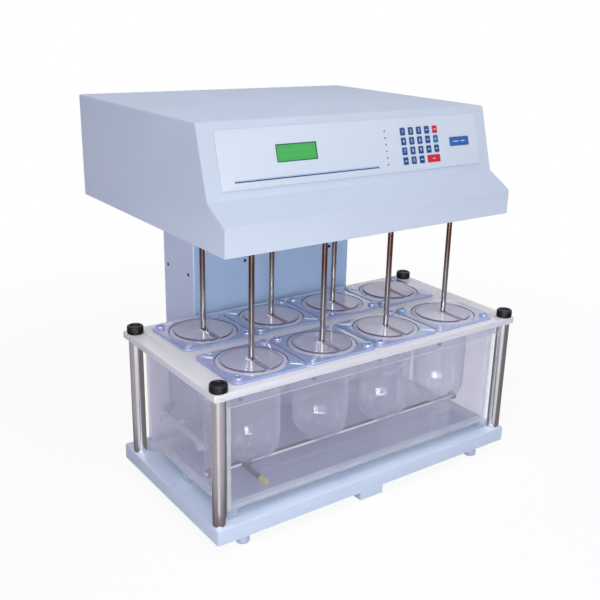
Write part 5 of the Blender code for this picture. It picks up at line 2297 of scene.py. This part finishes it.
@dataclass
class Studio:
    """Camera at the photograph's view, plain pale floor and soft light."""

    eye: Point = (-0.95322, -1.35516, 0.87488)
    right: Point = (0.80712, -0.58975, 0.02730)
    down: Point = (-0.17363, -0.28132, -0.94378)
    forward: Point = (0.56428, 0.75700, -0.32945)
    lens: float = 51.395
    sensor: float = 36
    shift_x: float = -0.02615
    shift_y: float = 0.0103
    floor_radius: float = 4.0
    floor_colour: Colour = (0.82, 0.83, 0.86)
    floor_drift: float = 0.01
    floor_glow: float = 0.91
    glow_start: float = 0.70
    glow_end: float = 1.90
    mirror_tone: Colour = (0.30, 0.275, 0.315)
    # The reflected floor's dark tone near the machine is a painted shadow.
    mirror_painted_shadow: Colour = (0.05, 0.04, 0.045)
    clear_x: float = 0.36
    clear_y: float = -0.30
    shade_reach: float = 0.24
    ambient: Colour = (0.49, 0.465, 0.555)
    card_colour: Colour = (1, 0.98, 1)
    dark_strength: float = 0.17
    dark_rise: Pair = (0.02, 0.30)
    glint_azimuth: float = 233
    post_card: Point = (0.12, 0.085, 0.32)
    post_glint: float = 0.66
    shaft_card: Point = (1.15, 0.42, 0.6)
    shaft_glint: float = 2.5
    softbox: Point = (-1.06, -1.62, 0.42)
    softbox_low: Point = (-0.8, -0.01, -0.36)
    softbox_high: Point = (0.8, 0.01, 0.7)
    softbox_target: Point = (0, -0.1, 0.2)
    softbox_strength: float = 17.0
    clear_layers: int = 40

    def build_camera(self) -> None:
        """The camera."""
        data = bpy.data.cameras.new("camera")
        data.lens = self.lens
        data.sensor_width = self.sensor
        data.shift_x = self.shift_x
        data.shift_y = self.shift_y
        camera = bpy.data.objects.new("camera", data)
        axes = (Vector(self.right), -Vector(self.down), -Vector(self.forward))
        camera.matrix_world = from_columns(*axes, Vector(self.eye))
        bpy.context.scene.collection.objects.link(camera)
        bpy.context.scene.camera = camera

    def build_world(self) -> None:
        """White to the eye and to reflections, softer and slightly violet to matt surfaces."""
        graph = Graph(bpy.data.worlds.new("studio"))
        seen = graph.ray("Is Camera Ray")
        for kind in ("Is Glossy Ray", "Is Transmission Ray"):
            seen = seen.does("MAXIMUM", graph.ray(kind))
        soft, white = (
            graph.out("ShaderNodeBackground", None, {"Color": colour})
            for colour in (self.ambient, (1, 1, 1))
        )
        bpy.context.scene.world = graph.finished(graph.between(soft, white, seen))

    def floor_material(self) -> Material:
        """Matt pale floor that the camera sees nearly white, with the shadow kept.

        Returns:
            The material.
        """
        graph = new_graph("studio_floor")
        across, back = graph.axis("X"), graph.axis("Y")
        drift = 1 + (graph.noise(1.5, 2.0) - 0.5) * self.floor_drift
        colour = graph.scaled(self.floor_colour, drift)
        matt = graph.principled({"Base Color": colour, "Roughness": 0.9})
        white = graph.out("ShaderNodeEmission", None, {"Color": (1, 1, 1), "Strength": 1.0})
        far = ((across * across + back * back) ** 0.5).eased(self.glow_start, self.glow_end)
        glow = self.floor_glow + far * (1 - self.floor_glow)
        plain = graph.between(matt, white, graph.ray("Is Camera Ray") * glow)
        # Reflections see the floor darker near the machine's base: a painted shadow.
        aside = across.does("ABSOLUTE") - self.clear_x
        apart = aside.does("MAXIMUM", self.clear_y - back).eased(0.0, self.shade_reach)
        room = graph.principled(
            {
                "Base Color": (0, 0, 0),
                "Roughness": 1.0,
                "Emission Color": graph.mixed(self.mirror_painted_shadow, self.mirror_tone, apart),
                "Emission Strength": 1.0,
            }
        )
        return graph.finished(graph.between(plain, room, graph.ray("Is Glossy Ray")))

    def build_floor(self) -> None:
        """The floor disc."""
        deselect_all()
        bpy.ops.mesh.primitive_circle_add(vertices=96, radius=self.floor_radius, fill_type="NGON")
        floor = bpy.context.object
        floor.name = "studio_floor"
        floor.data.materials.append(self.floor_material())

    def show_to_mirrors(self, card: Object, strength: float) -> None:
        """Light a card and let only mirroring surfaces see it.

        Args:
            card: The card.
            strength: How bright it is.
        """
        graph = new_graph(card.name)
        sockets = {"Color": self.card_colour, "Strength": strength}
        glow = graph.out("ShaderNodeEmission", None, sockets)
        card.data.materials.append(graph.finished(glow))
        for kind in ("camera", "diffuse", "shadow", "transmission"):
            setattr(card, f"visible_{kind}", False)

    def dark_card(self, name: str, start: Pair, end: Pair) -> None:
        """An upright black strip that only mirrors see, which draws the dark rim of the chrome.

        Args:
            name: The card's name.
            start: Place on the floor where it starts.
            end: Place where it ends.
        """
        run = Vector(end) - Vector(start)
        low, high = self.dark_rise
        card = box(name, (0, -0.0002, low), (run.length, 0.0002, high))
        turn = Matrix.Rotation(math.atan2(run.y, run.x), 4, "Z")
        placed(card, Matrix.Translation((*start, 0)) @ turn)
        self.show_to_mirrors(card, self.dark_strength)

    def glint_card(self, name: str, x: float, y: float, sizes: Point, strength: float) -> None:
        """One upright bright card beside a chrome piece.

        Args:
            name: The card's name.
            x: The chrome piece's place across the machine.
            y: Its place from front to back.
            sizes: Distance between the piece and the card, then the card's width and height.
            strength: How bright it is.
        """
        reach, width, top = sizes
        turn = math.radians(self.glint_azimuth)
        card = box(name, (-width / 2, -0.0005, 0.0), (width / 2, 0.0005, top))
        spot = Vector((x + reach * math.cos(turn), y + reach * math.sin(turn), 0))
        placed(card, Matrix.Translation(spot) @ Matrix.Rotation(turn + math.pi / 2, 4, "Z"))
        self.show_to_mirrors(card, strength)

    def build_cards(self) -> None:
        """A narrow card near each post, a wide one for the shafts, dark strips and a soft box."""
        for name, x, y in posts():
            self.glint_card(f"bright_card_{name}", x, y, self.post_card, self.post_glint)
        self.glint_card("bright_card_shafts", 0, 0, self.shaft_card, self.shaft_glint)
        for name, ends in DARK_CARDS.items():
            self.dark_card(f"dark_card_{name}", *ends)
        softbox = box("bright_softbox", self.softbox_low, self.softbox_high)
        aim = Vector(self.softbox_target) - Vector(self.softbox)
        turn = aim.to_track_quat("Y", "Z").to_matrix().to_4x4()
        placed(softbox, Matrix.Translation(self.softbox) @ turn)
        self.show_to_mirrors(softbox, self.softbox_strength)

    def build(self) -> None:
        """Build the whole studio."""
        self.build_camera()
        self.build_world()
        self.build_floor()
        for lamp in LAMPS:
            lamp.build()
        self.build_cards()
        scene = bpy.context.scene
        scene.view_settings.view_transform = "Standard"
        scene.cycles.transparent_max_bounces = self.clear_layers


def main() -> None:
    """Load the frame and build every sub-assembly."""
    logging.basicConfig(level=logging.INFO, format="%(name)s: %(message)s")
    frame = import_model()
    Studio().build()
    dress_kept_nodes(frame["nodes"])
    for assembly in (
        BasePlate(),
        CornerPosts(),
        LidBoard(),
        LocatingPlates(),
        Vessels(),
        Spindles(),
        Tank(),
        TankFittings(),
        HeadCover(),
        ControlPanel(),
        ColumnTrim(),
    ):
        LOG.info("building %s", type(assembly).__name__)
        assembly.build()


if __name__ == "__main__":
    main()
